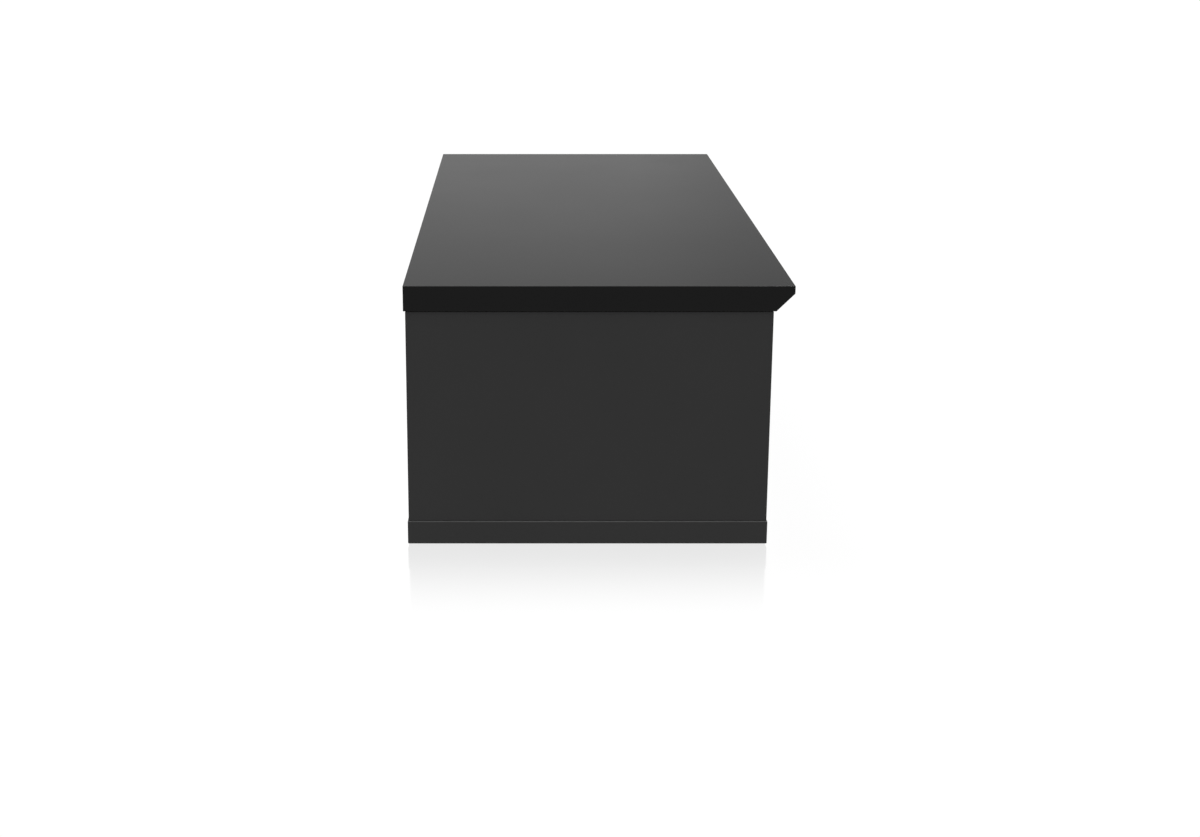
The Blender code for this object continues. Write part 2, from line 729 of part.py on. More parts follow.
def make_top_rivets(parts, finishes, end, side):
    """The rivets that hang a bracket on its two arms, each with a collar between web and arm."""
    outer = WEB_LAYER[0] - JOINT_GAP
    collar = (WEB_LAYER[1] + JOINT_GAP, ARM_LAYER[0] - JOINT_GAP)
    inner = ARM_LAYER[1] + JOINT_GAP
    profile = [
        (0, inner + HEAD_HEIGHT),
        (RIVET_HEAD_RADIUS - HEAD_HEIGHT / 2, inner + HEAD_HEIGHT),
        (RIVET_HEAD_RADIUS, inner + HEAD_HEIGHT / 2),
        (RIVET_HEAD_RADIUS, inner),
        (RIVET_RADIUS, inner),
        (RIVET_RADIUS, collar[1]),
        (COLLAR_RADIUS, collar[1]),
        (COLLAR_RADIUS, collar[0]),
        (RIVET_RADIUS, collar[0]),
        (RIVET_RADIUS, outer),
        (RIVET_HEAD_RADIUS, outer),
        (RIVET_HEAD_RADIUS - HEAD_CHAMFER, outer - UPSET_HEIGHT),
        (0, outer - UPSET_HEIGHT),
    ]
    for name, point in (("top_drive_rivet", TOP_DRIVE_PIVOT), ("top_rear_rivet", TOP_REAR_PIVOT)):
        turned(parts, f"{name}_{end}", profile, inward(side, point), finishes["zinc_steel"])


def spring_points(side):
    """The wire of a torsion spring: its lifting leg, its coil and its fixed leg."""
    steps_per_turn = 12
    under_peg = ARM_PEG_OFFSET - PEG_RADIUS - WIRE_RADIUS - RUNNING_GAP
    reach = math.hypot(ARM_PEG_AT, under_peg)
    leaves = (
        CLOSED_ANGLE
        + math.degrees(math.atan2(under_peg, ARM_PEG_AT))
        + math.degrees(math.acos(SPRING_RADIUS / reach))
    )
    total = 180 + 360 * SPRING_WHOLE_TURNS - leaves
    depth_end = SPRING_START + SPRING_PITCH * total / 360

    tangent = along(DRIVE_PIVOT, leaves, SPRING_RADIUS)
    leg_length = math.sqrt(reach**2 - SPRING_RADIUS**2) + SPRING_LEG_EXTRA[0]
    leg_tip = along(tangent, leaves - 90, leg_length)
    points = [(*leg_tip, SPRING_START)]
    steps = round(total / 360 * steps_per_turn)
    for i in range(steps + 1):
        share = i / steps
        spot = along(DRIVE_PIVOT, leaves + total * share, SPRING_RADIUS)
        points.append((*spot, SPRING_START + (depth_end - SPRING_START) * share))
    foot = (DRIVE_PIVOT[0] - SPRING_RADIUS, spring_peg_point()[1] - SPRING_LEG_EXTRA[1])
    points.append((*foot, depth_end))
    return [(side * (INNER_X - depth), y, z) for y, z, depth in points]


def make_spring(parts, finishes, end, side):
    wire(parts, f"torsion_spring_{end}", spring_points(side), WIRE_RADIUS, finishes["spring_steel"])


# ---- Motion ----
def pivot(parts, name, point, parent=None):
    """An empty on a joint's axis, which runs along X."""
    empty = bpy.data.objects.new(name, None)
    empty.empty_display_type = "ARROWS"
    empty.empty_display_size = 0.05
    empty.matrix_world = Matrix.Translation((0, *point))
    parts.objects.link(empty)
    if parent is not None:
        attach(empty, parent)
    return empty


def make_rig(parts):
    """Hangs each moving piece on the empty of its joint.

    Turning drive_arms_axis and both rear arm axes about X by up to SWING, and lift_top_axis back by
    as much, raises the top.
    """
    arms = pivot(parts, "drive_arms_axis", DRIVE_PIVOT)
    lift = pivot(parts, "lift_top_axis", TOP_DRIVE_PIVOT, arms)
    riders = {"cross_tube": arms, "table_top": lift}
    for end in SIDES:
        rear = pivot(parts, f"rear_arm_{end}_axis", REAR_PIVOT)
        riders[f"drive_arm_{end}"] = riders[f"drive_bush_{end}"] = arms
        riders[f"rear_arm_{end}"] = riders[f"rear_bush_{end}"] = rear
        hung = ["top_bracket", "top_drive_rivet", "top_rear_rivet"]
        riders.update({f"{name}_{end}": lift for name in hung})
        for number, _ in enumerate(flange_screw_rows(), 1):
            riders[f"bracket_screw_{end}_{number}"] = lift
    for name, axis in riders.items():
        attach(parts.objects[name], axis)


def main():
    for obj in list(bpy.data.objects):
        bpy.data.objects.remove(obj)
    parts = bpy.data.collections.new("lift_top_coffee_table")
    cutters = bpy.data.collections.new("boolean_helpers")
    for collection in (parts, cutters):
        bpy.context.scene.collection.children.link(collection)

    finishes = make_materials()
    make_plinth(parts, finishes)
    make_glides(parts, finishes)
    make_box(parts, cutters, finishes)
    make_bumpers(parts, finishes)
    make_top(parts, cutters, finishes)
    make_cross_tube(parts, finishes)
    for end, side in SIDES.items():
        make_plate(parts, cutters, finishes, end, side)
        make_screws(parts, finishes, end, side)
        make_base_pivots(parts, finishes, end, side)
        make_bushes(parts, finishes, end, side)
        make_arms(parts, cutters, finishes, end, side)
        make_bracket(parts, cutters, finishes, end, side)
        make_top_rivets(parts, finishes, end, side)
        make_spring(parts, finishes, end, side)
    make_rig(parts)


main()
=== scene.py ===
"""The looks of the lift top coffee table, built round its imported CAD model.

Metres, +Z up, in the CAD model's frame: the front faces -Y and the left end faces -X. The boards, the
top and the lift mechanism are built again here with eased edges, bent sheet, threads and welds, in
the places that the frame gives, and every surface gets a procedural material.
"""

import json
import math

import bmesh
import bpy
from mathutils import Matrix, Vector


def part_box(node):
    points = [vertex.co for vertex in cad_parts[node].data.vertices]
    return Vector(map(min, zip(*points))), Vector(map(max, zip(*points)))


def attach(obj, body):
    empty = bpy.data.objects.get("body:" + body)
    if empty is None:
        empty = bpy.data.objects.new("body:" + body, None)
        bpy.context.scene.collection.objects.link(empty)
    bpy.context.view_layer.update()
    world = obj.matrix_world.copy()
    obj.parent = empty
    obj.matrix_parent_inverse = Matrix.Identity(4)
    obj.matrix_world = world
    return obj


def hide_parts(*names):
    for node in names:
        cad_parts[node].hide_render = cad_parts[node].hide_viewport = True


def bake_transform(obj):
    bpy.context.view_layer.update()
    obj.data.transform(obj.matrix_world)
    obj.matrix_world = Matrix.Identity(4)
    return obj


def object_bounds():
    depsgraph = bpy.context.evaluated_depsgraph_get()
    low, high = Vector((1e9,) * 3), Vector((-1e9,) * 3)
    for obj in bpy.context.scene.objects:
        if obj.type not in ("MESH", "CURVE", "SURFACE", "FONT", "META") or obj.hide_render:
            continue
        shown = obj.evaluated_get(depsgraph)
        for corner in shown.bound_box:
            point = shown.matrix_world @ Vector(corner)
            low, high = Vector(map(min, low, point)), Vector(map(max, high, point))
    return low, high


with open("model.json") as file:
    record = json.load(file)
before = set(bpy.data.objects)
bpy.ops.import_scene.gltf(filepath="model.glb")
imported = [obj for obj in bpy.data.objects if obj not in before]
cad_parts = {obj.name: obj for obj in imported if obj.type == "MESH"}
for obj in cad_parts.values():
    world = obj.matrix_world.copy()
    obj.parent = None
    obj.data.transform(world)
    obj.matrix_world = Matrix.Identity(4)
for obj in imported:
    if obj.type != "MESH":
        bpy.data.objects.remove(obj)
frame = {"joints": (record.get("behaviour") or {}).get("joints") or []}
cad_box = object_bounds()

SIDES = {"left": -1, "right": 1}

# ---- Camera: the photograph's viewpoint, square on to the table's left end ----
CAMERA_AT = (-2.909, 0.111, 1.022)
CAMERA_PITCH = 12.75  # below level
CAMERA_LENS = 46.9
CAMERA_SHIFT = (0.0614, -0.150)

# ---- Studio ----
FLOOR_SIZE = 60.0
STUDIO_WHITE = 1.02  # floor and sky as the camera sees them
FLOOR_MIRROR_WHITE = 0.758  # what the floor glows under its mirror, next to the table
FLOOR_MIRROR = 1.15
FLOOR_MIRROR_ROUGHNESS = 0.12
FLOOR_MIRROR_REACH = 0.34  # from the table to where the mirror ends
FLOOR_MIRROR_FADE = 1.7  # power of the fall on the way there
FLOOR_BOUNCE = 0.25  # what the floor lights the table with
SKY_LEFT = 0.40
SKY_RIGHT = 0.264
SKY_TURN = (-0.6, 0.9)  # the sky's bands are ranges of the direction's x, y or z
HORIZON_GLOW = 0.336  # low behind the right end
HORIZON_TURN = (0.3, 0.9)
HORIZON_HEIGHT = (0.16, 0.27)
FRONT_DIMMING = 0.72
FRONT_TURN = (-0.17, -0.05)
ZENITH_GLOW = 1.04
ZENITH_HEIGHT = (0.6, 0.95)
SOFTBOX_SIZE = 2.0
SOFTBOXES = {  # place and power in watts: over the front and over the back, clear of the left end
    "front_softbox": ((1.0, -1.8, 3.0), 110.0),
    "back_softbox": ((0.8, 1.8, 3.0), 70.0),
}

# ---- Edges and gaps ----
BOARD_EASE = 0.0005
PLINTH_EASE = 0.0013
MITRE_SHARE = 0.4  # of the easing, at the edges that meet in a mitre
MITRE_GAP = 0.00003
TOP_EASE = 0.0006
SHEET_EASE = 0.0004
TURNED_EASE = 0.0004
FOOT_EASE = 0.0006
PEG_EASE = 0.0006
BUFFER_EASE = 0.0008
BUSH_EASE = 0.0003
SLEEVE_EASE = 0.0005
RIVET_EASE = 0.0005
WIRE_END_EASE = 0.25  # of the wire's radius
JOINT_GAP = 0.0003
SEAT_GAP = JOINT_GAP / 3  # between parts that are fastened to each other
RUNNING_GAP = 0.0003

# ---- The top and the mechanism, as the CAD model has them ----
TOP_LIP = 0.012  # upright part of the front edge, above its undercut
# Points of the plate are (y, z) from its drive pivot
PLATE_CORNERS = ((-0.070, -0.062), (0.112, -0.062), (0.112, -0.016), (0.020, 0.060), (-0.070, 0.060))
PLATE_CORNER_RADIUS = 0.012
PLATE_SCREWS = ((-0.054, -0.046), (0.046, -0.050), (-0.014, 0.046))
WEB_MARGIN = 0.018  # steel of a bracket's web below and behind its pivots
WEB_FRONT = (0.016, 0.075)  # web's front edge ahead of the top drive pivot, at its foot and at the flange
WEB_HEEL = 0.014  # where the web's foot turns level, ahead of the rear pivot
WEB_CORNER_RADIUS = 0.011
WEB_START_RADIUS = 0.003  # where the web leaves the flange
FLANGE_FRONT = 0.200  # flange's front end ahead of the top drive pivot
FLANGE_CORNER_RADIUS = 0.005
FLANGE_SCREWS = (-0.180, -0.052, 0.080)  # along Y, from the top drive pivot
STOP_AT = 0.055  # stop stud along the raised drive arm
ARM_PEG = (0.060, 0.004)  # spring's peg along the drive arm, and above its middle line
ARM_PEG_PAST_SPRING = 0.005  # from the middle of the spring's lifting leg to the peg's end
SPRING_PEG_DROP = 0.045  # spring's fixed peg below the drive pivot
SPRING_LEG_EXTRA = (0.008, 0.010)  # wire past the lifting peg, and past the fixed peg
STEEL = 0.003
ARM_HALF_WIDTH = 0.013
TUBE_RADIUS = 0.009
TUBE_WALL = 0.0015
SHAFT_RADIUS = 0.006
RIVET_RADIUS = 0.005
BUSH_RADIUS = 0.008
BUSH_FLANGE_RADIUS = 0.012
DRIVE_HEAD_RADIUS = 0.013
REAR_HEAD_RADIUS = 0.011
HEAD_HEIGHT = 0.003
HEAD_DIMPLE = (0.0012, 0.0006)  # radius and depth
RIVET_HEAD_RADIUS = 0.009
RIVET_RIM = 0.0012  # height of its head's edge, under the dome
RIVET_DOME = 0.016  # radius of the dome
UPSET_HEIGHT = 0.0018  # of a rivet's flat end, next to the end panel
UPSET_CHAMFER = 0.001
COLLAR_RADIUS = 0.008
SLEEVE_RADIUS = 0.010
SPRING_RADIUS = 0.014
SPRING_PITCH = 0.0044
SPRING_WHOLE_TURNS = 7
WIRE_RADIUS = 0.002
PEG_RADIUS = 0.004
PEG_ROOT = 0.001  # of a peg or stud, sunk in the sheet that it is welded to
BUFFER_RADIUS = 0.0075
BUFFER_PAST_ARM = 0.0005
STUD_PAST_BUFFER = 0.001
CLEARANCE_HOLE_RADIUS = 0.0028

# ---- Details that only the fine model has ----
BEND_RADIUS = 0.0025  # of the bracket's sheet, to its middle
BEND_LENGTH = BEND_RADIUS * math.pi / 2
WELD_RADIUS = 0.0013
WELD_RIPPLES = (22, 0.10)  # round the bead, and their height as a share of its radius
WELD_WANDER = (3, 0.05)  # slower swells of the bead, likewise
WELD_FLATNESS = 0.9
SCREW_THREAD_RADIUS = 0.0022
SCREW_THREAD_DEPTH = 0.00055
SCREW_THREAD_PITCH = 0.0018
SCREW_CREST = 0.28  # of a turn, from the top of the thread's crest to its foot
SCREW_NECK = 0.001  # plain shank under the head
SCREW_LENGTH = 0.015
SCREW_TIP = (0.004, 0.25)  # length of its taper, and the share of the radius left at its end
SCREW_POINT = 0.0005  # past the taper
SCREW_HEAD_RADIUS = 0.0045
SCREW_HEAD_HEIGHT = 0.0025
SCREW_HEAD_SIDE = 0.0005  # height of its upright side
SCREW_HEAD_RIM = 0.0003
SCREW_HEAD_DOME = 0.0062
SCREW_TURNS = (37, 53)  # degrees from one recess to the next, on the plates and on the brackets
RECESS_SIZE = (0.0066, 0.0013, 0.0030)
RECESS_TAPER = (0.45, 0.6)  # of its length and width, at the bottom

# ---- Fineness of the meshes ----
HOLE_STEPS = 40
ARM_END_STEPS = 24
TURNED_STEPS = 64
BEND_STEPS = 6
WELD_STEPS = (144, 10)  # round the foot, and round the bead
SCREW_STEPS = (24, 10)  # round the screw, and rows to each turn of its thread
WIRE_STEPS = (36, 16)  # to each turn of the coil, and round the wire
LEG_STEPS = 12

# ---- Layers, counted inwards from the inner face of an end panel ----
PLATE_LAYER = (0.0003, 0.0033)
WEB_LAYER = (0.0038, 0.0068)
ARM_LAYER = (0.0090, 0.0130)
FLANGE_EDGE = 0.0386
SPRING_START = 0.022
SLEEVE_END = 0.058

# ---- Places, from the frame ----
PIVOTS = {joint["name"]: Vector(joint["pos_m"][1:]) for joint in frame["joints"]}
DRIVE_PIVOT = PIVOTS["lift"]
REAR_PIVOT = PIVOTS["rear_arm_swing_left"]
TOP_DRIVE_PIVOT = PIVOTS["top_level"]
TOP_REAR_PIVOT = TOP_DRIVE_PIVOT + REAR_PIVOT - DRIVE_PIVOT
SWING = next(joint["range_deg"][1] for joint in frame["joints"] if joint["name"] == "lift")
CLOSED_ANGLE = math.degrees(math.atan2(*(TOP_DRIVE_PIVOT - DRIVE_PIVOT).yx))
INNER_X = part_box("end_panel_right")[0].x
TOP_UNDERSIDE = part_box("table_top")[0].z


# ---- Shader graphs ----
NOISE_BAND = (0.3, 0.7)  # where nearly all of a noise's values lie


class Graph:
    """A node tree that is written as nested calls."""

    def __init__(self, tree):
        self.tree = tree
        tree.nodes.clear()

    def node(self, kind, inputs=None, **settings):
        made = self.tree.nodes.new(kind)
        for name, value in settings.items():
            setattr(made, name, value)
        for name, value in (inputs or {}).items():
            self.feed(made.inputs[name], value)
        return made

    def feed(self, socket, value):
        if isinstance(value, bpy.types.NodeSocket):
            self.tree.links.new(value, socket)
        elif isinstance(value, bpy.types.Node):
            self.tree.links.new(value.outputs[0], socket)
        else:
            socket.default_value = value

    def math(self, operation, *values):
        made = self.node("ShaderNodeMath", operation=operation)
        for socket, value in zip(made.inputs, values):
            self.feed(socket, value)
        return made

    def span(self, value, low, high, to_low=0.0, to_high=1.0, smooth=False):
        """Maps value from low..high to to_low..to_high, and holds it there."""
        kind = "SMOOTHSTEP" if smooth else "LINEAR"
        names = ("Value", "From Min", "From Max", "To Min", "To Max")
        inputs = dict(zip(names, (value, low, high, to_low, to_high)))
        return self.node("ShaderNodeMapRange", inputs, interpolation_type=kind)

    def noise(self, where, scale, detail=2.0):
        return self.node("ShaderNodeTexNoise", {"Vector": where, "Scale": scale, "Detail": detail})

    def mix(self, share, first, second):
        made = self.node("ShaderNodeMix", data_type="RGBA")
        self.feed(made.inputs[0], share)
        self.feed(made.inputs[6], first)
        self.feed(made.inputs[7], second)
        return made.outputs[2]


def grey(value):
    return (value, value, value, 1.0)


# ---- Studio ----
def make_camera():
    data = bpy.data.cameras.new("camera")
    data.lens = CAMERA_LENS
    data.shift_x, data.shift_y = CAMERA_SHIFT
    camera = bpy.data.objects.new("camera", data)
    camera.location = CAMERA_AT
    camera.rotation_euler = (math.radians(90 - CAMERA_PITCH), 0, math.radians(-90))
    bpy.context.scene.collection.objects.link(camera)
    bpy.context.scene.camera = camera


def make_sky():
    """Seen directly it is white. As a light it is softer: brightest overhead and low behind the right
    end, and a little dimmer on the front's side."""
    world = bpy.data.worlds.new("studio")
    bpy.context.scene.world = world
    world.use_nodes = True
    g = Graph(world.node_tree)
    direction = g.node("ShaderNodeTexCoord").outputs["Generated"]
    x, y, z = g.node("ShaderNodeSeparateXYZ", {"Vector": direction}).outputs
    light = g.span(x, *SKY_TURN, SKY_LEFT, SKY_RIGHT, smooth=True)
    behind = g.span(x, *HORIZON_TURN, smooth=True)
    low_down = g.span(z, *HORIZON_HEIGHT, HORIZON_GLOW, 0.0, smooth=True)
    light = g.math("ADD", light, g.math("MULTIPLY", behind, low_down))
    light = g.math("MULTIPLY", light, g.span(y, *FRONT_TURN, FRONT_DIMMING, 1.0, smooth=True))
    light = g.math("ADD", light, g.span(z, *ZENITH_HEIGHT, 0.0, ZENITH_GLOW, smooth=True))
    seen = g.node("ShaderNodeLightPath").outputs["Is Camera Ray"]
    strength = g.math("MAXIMUM", g.math("MULTIPLY", seen, STUDIO_WHITE), light)
    sky = g.node("ShaderNodeBackground", {"Color": grey(1.0), "Strength": strength})
    g.node("ShaderNodeOutputWorld", {"Surface": sky})


def make_softboxes():
    for name, (place, power) in SOFTBOXES.items():
        data = bpy.data.lights.new(name, "AREA")
        data.size = SOFTBOX_SIZE
        data.energy = power
        softbox = bpy.data.objects.new(name, data)
        softbox.location = place
        aim = (cad_box[0] + cad_box[1]) / 2 - Vector(place)
        softbox.rotation_euler = aim.to_track_quat("-Z", "Y").to_euler()
        softbox.visible_camera = False
        bpy.context.scene.collection.objects.link(softbox)


def make_floor():
    """A white floor that mirrors the table softly, near it, and lights it only a little from below."""
    mesh = bpy.data.meshes.new("floor")
    work = bmesh.new()
    bmesh.ops.create_grid(work, x_segments=1, y_segments=1, size=FLOOR_SIZE / 2)
    work.to_mesh(mesh)
    work.free()
    floor = bpy.data.objects.new("floor", mesh)
    bpy.context.scene.collection.objects.link(floor)

    finish = bpy.data.materials.new("floor_white")
    finish.use_nodes = True
    g = Graph(finish.node_tree)
    place = g.node("ShaderNodeTexCoord").outputs["Object"]
    x, y, _ = g.node("ShaderNodeSeparateXYZ", {"Vector": place}).outputs
    high = cad_box[1]
    past_x = g.math("MAXIMUM", g.math("SUBTRACT", g.math("ABSOLUTE", x), high.x), 0.0)
    past_y = g.math("MAXIMUM", g.math("SUBTRACT", g.math("ABSOLUTE", y), high.y), 0.0)
    away = g.math("SQRT", g.math("ADD", g.math("POWER", past_x, 2.0), g.math("POWER", past_y, 2.0)))
    near = g.span(away, 0.0, FLOOR_MIRROR_REACH, 1.0, 0.0, smooth=True)
    near = g.math("POWER", near, FLOOR_MIRROR_FADE)
    white = g.node("ShaderNodeEmission", {"Strength": STUDIO_WHITE})
    base = g.node("ShaderNodeEmission", {"Strength": FLOOR_MIRROR_WHITE})
    mirror = g.node(
        "ShaderNodeBsdfAnisotropic",
        {"Color": grey(FLOOR_MIRROR), "Roughness": FLOOR_MIRROR_ROUGHNESS},
    )
    both = g.node("ShaderNodeAddShader")
    g.feed(both.inputs[0], base)
    g.feed(both.inputs[1], mirror)
    shown = g.node("ShaderNodeMixShader", {"Fac": near})
    g.feed(shown.inputs[1], white)
    g.feed(shown.inputs[2], both)
    bounce = g.node("ShaderNodeEmission", {"Strength": FLOOR_BOUNCE})
    seen = g.node("ShaderNodeLightPath").outputs["Is Camera Ray"]
    surface = g.node("ShaderNodeMixShader", {"Fac": seen})
    g.feed(surface.inputs[1], bounce)
    g.feed(surface.inputs[2], shown)
    g.node("ShaderNodeOutputMaterial", {"Surface": surface})
    mesh.materials.append(finish)


# ---- Outlines ----
def arc(centre, radius, start, end, steps):
    """Points from the angle start to the angle end, in degrees."""
    turns = [math.radians(start + (end - start) * i / steps) for i in range(steps + 1)]
    return [(centre[0] + radius * math.cos(t), centre[1] + radius * math.sin(t)) for t in turns]


def circle(centre, radius):
    return arc(centre, radius, 0, 360, HOLE_STEPS)[:-1]


def capsule(start, end, radius):
    """A bar with round ends, centred on the line from start to end."""
    angle = math.degrees(math.atan2(end[1] - start[1], end[0] - start[0]))
    first = arc(end, radius, angle - 90, angle + 90, ARM_END_STEPS)
    return first + arc(start, radius, angle + 90, angle + 270, ARM_END_STEPS)


def eased(points, radius, closed=True, steps=5):
    """The outline with its corners rounded. radius is one number, or one for each point."""
    radii = radius if isinstance(radius, (list, tuple)) else [radius] * len(points)
    count, made = len(points), []
    for i, (point, wanted) in enumerate(zip(points, radii)):
        if wanted == 0 or (not closed and i in (0, count - 1)):
            made.append(tuple(point))
            continue
        here = Vector(point)
        back = (Vector(points[i - 1]) - here).normalized()
        onward = (Vector(points[(i + 1) % count]) - here).normalized()
        half = back.angle(onward) / 2
        centre = here + (back + onward).normalized() * (wanted / math.sin(half))
        reach = wanted / math.tan(half)
        first, last = here + back * reach - centre, here + onward * reach - centre
        turn = first.angle_signed(last)
        for step in range(steps + 1):
            spot = centre + Matrix.Rotation(-turn * step / steps, 2) @ first
            made.append(tuple(spot))
    return made


def along(point, angle, distance, offset=0.0):
    """The (y, z) that is distance along angle from point, and offset to the left of that direction."""
    a = math.radians(angle)
    ahead, left = Vector((math.cos(a), math.sin(a))), Vector((-math.sin(a), math.cos(a)))
    return Vector(point) + ahead * distance + left * offset


# ---- Places ----
def across(x):
    """Puts a part drawn in (Y, Z) upright at x, its thickness along X."""
    turn = Matrix(((0, 0, 1, 0), (1, 0, 0, 0), (0, 1, 0, 0), (0, 0, 0, 1)))
    return Matrix.Translation((x, 0, 0)) @ turn


def inward(side, point):
    """Puts a part's local Z along X, pointing inwards from that end panel's inner face, at (y, z)."""
    turn = Matrix(((0, 0, -side, 0), (1, 0, 0, 0), (0, -side, 0, 0), (0, 0, 0, 1)))
    return Matrix.Translation((side * INNER_X, point[0], point[1])) @ turn


def layer_x(side, layer):
    """The middle of a layer, as an X position."""
    return side * (INNER_X - (layer[0] + layer[1]) / 2)


# ---- Shapes ----
def piece(name, mesh, finish, body, place=None, stands_for=()):
    """A piece that rides on a body and takes its material slot's name from its finish."""
    made = bpy.data.objects.new(name, mesh)
    bpy.context.scene.collection.objects.link(made)
    if place is not None:
        made.matrix_world = place
    if not mesh.materials:
        mesh.materials.append(finish)
    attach(made, body)
    if stands_for:
        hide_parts(*stands_for)
    return made


def smooth(mesh, angle=32):
    mesh.shade_smooth()
    mesh.set_sharp_from_angle(angle=math.radians(angle))
    return mesh


def mesh_from(work, name):
    """A mesh from working geometry, its faces pointing out."""
    bmesh.ops.recalc_face_normals(work, faces=work.faces)
    mesh = bpy.data.meshes.new(name)
    work.to_mesh(mesh)
    work.free()
    return mesh


def hoop(work, radii, height):
    """Points round Z, one for each radius, or a single point on Z in their place if a radius is 0."""
    steps = len(radii)
    if radii[0] == 0:
        return [work.verts.new((0, 0, height))] * steps
    turns = [2 * math.pi * i / steps for i in range(steps)]
    return [work.verts.new((r * math.cos(t), r * math.sin(t), height)) for r, t in zip(radii, turns)]


def join_hoops(work, hoops):
    """The faces between each hoop and the next, from the top down."""
    for upper, lower in zip(hoops, hoops[1:]):
        for i in range(len(upper)):
            corners = [upper[i], lower[i], lower[i - 1], upper[i - 1]]
            work.faces.new(list(dict.fromkeys(corners)))


def turned(name, profile, ring=False):
    """A mesh swept round Z from its profile, points of (radius, height) from the top down."""
    work = bmesh.new()
    hoops = [hoop(work, [radius] * TURNED_STEPS, height) for radius, height in profile]
    join_hoops(work, hoops + hoops[:1] if ring else hoops)
    return smooth(mesh_from(work, name))


def filled(name, outline, holes, thickness=0.0, ease=0.0):
    """A flat mesh, or with a thickness a plate with rounded edges, from an outline and its holes."""
    curve = bpy.data.curves.new(name, "CURVE")
    curve.dimensions = "2D"
    curve.fill_mode = "BOTH"
    curve.extrude = max(thickness / 2 - ease, 0)
    curve.bevel_depth = ease
    curve.bevel_resolution = 2
    curve.offset = -ease
    for points in [outline, *(hole[::-1] for hole in holes)]:
        spline = curve.splines.new("POLY")
        spline.points.add(len(points) - 1)
        for spot, (x, y) in zip(spline.points, points):
            spot.co = (x, y, 0, 1)
        spline.use_cyclic_u = True
    source = bpy.data.objects.new(name, curve)
    bpy.context.scene.collection.objects.link(source)
    graph = bpy.context.evaluated_depsgraph_get()
    flat = bpy.data.meshes.new_from_object(source.evaluated_get(graph))
    bpy.data.objects.remove(source)
    work = bmesh.new()
    work.from_mesh(flat)
    bmesh.ops.remove_doubles(work, verts=work.verts, dist=1e-6)
    bmesh.ops.dissolve_limit(work, angle_limit=math.radians(0.5), verts=work.verts, edges=work.edges)
    return smooth(mesh_from(work, name))


def swept(name, points, radius):
    """A round wire through the points, its ends rounded off. UV runs along it and round it."""
    sides = WIRE_STEPS[1]
    path = [Vector(p) for p in points]
    ahead = [(b - a).normalized() for a, b in zip(path, path[1:])]
    tangents = [ahead[0], *((a + b).normalized() for a, b in zip(ahead, ahead[1:])), ahead[-1]]
    chamfer = radius * WIRE_END_EASE
    ends = {
        0: (path[0] - tangents[0] * chamfer, tangents[0], radius - chamfer),
        -1: (path[-1] + tangents[-1] * chamfer, tangents[-1], radius - chamfer),
    }
    stations = [ends[0], *((p, t, radius) for p, t in zip(path, tangents)), ends[-1]]
    work = bmesh.new()
    uv = work.loops.layers.uv.new("wire")
    side = stations[0][1].orthogonal().normalized()
    rows, length, lengths = [], 0.0, []
    for i, (spot, tangent, r) in enumerate(stations):
        side = (side - tangent * side.dot(tangent)).normalized()
        up = tangent.cross(side)
        turns = [2 * math.pi * k / sides for k in range(sides)]
        rows.append([work.verts.new(spot + (side * math.cos(t) + up * math.sin(t)) * r) for t in turns])
        length += (spot - stations[i - 1][0]).length if i else 0.0
        lengths.append(length)
    for i, (near, far) in enumerate(zip(rows, rows[1:])):
        for k in range(sides):
            face = work.faces.new((near[k - 1], far[k - 1], far[k], near[k]))
            spots = ((i, k - 1), (i + 1, k - 1), (i + 1, k), (i, k))
            for loop, (row, turn) in zip(face.loops, spots):
                loop[uv].uv = (lengths[row], turn / sides)
    for row in (rows[0], rows[-1]):
        work.faces.new(row)
    return smooth(mesh_from(work, name), 50)


def ease_edges(obj, width, segments=3, weighted=False, finish=-1):
    """Rounds the edges. They take the object's finish of that number, or with -1 their faces' own."""
    edges = obj.modifiers.new("Eased edges", "BEVEL")
    edges.width = width
    edges.segments = segments
    edges.limit_method = "WEIGHT" if weighted else "ANGLE"
    edges.angle_limit = math.radians(40)
    edges.harden_normals = True
    edges.material = finish
    obj.data.shade_smooth()


# ---- Boards ----
def prism(name, outline, low, high, finishes, hairlines=(), inner=(), banded=False):
    """A board on the outline, in the first of three finishes. The upright edges at the corners in
    hairlines are eased less, the sides that start at the corners in inner take the second finish,
    and the top face takes the third if it is banded."""
    work = bmesh.new()
    weight = work.edges.layers.float.new("bevel_weight_edge")
    rings = [[work.verts.new((x, y, z)) for x, y in outline] for z in (low, high)]
    ends = [work.faces.new(ring) for ring in rings]
    ends[1].material_index = 2 if banded else 0
    count = len(outline)
    sides = []
    for i in range(count):
        j = (i + 1) % count
        sides.append(work.faces.new((rings[0][i], rings[0][j], rings[1][j], rings[1][i])))
    for edge in work.edges:
        edge[weight] = 1.0
    for i in hairlines:
        upright = work.edges.get((rings[0][i], rings[1][i]))
        upright[weight] = MITRE_SHARE
    for i in inner:
        sides[i].material_index = 1
    mesh = mesh_from(work, name)
    for finish in finishes:
        mesh.materials.append(finish)
    return mesh


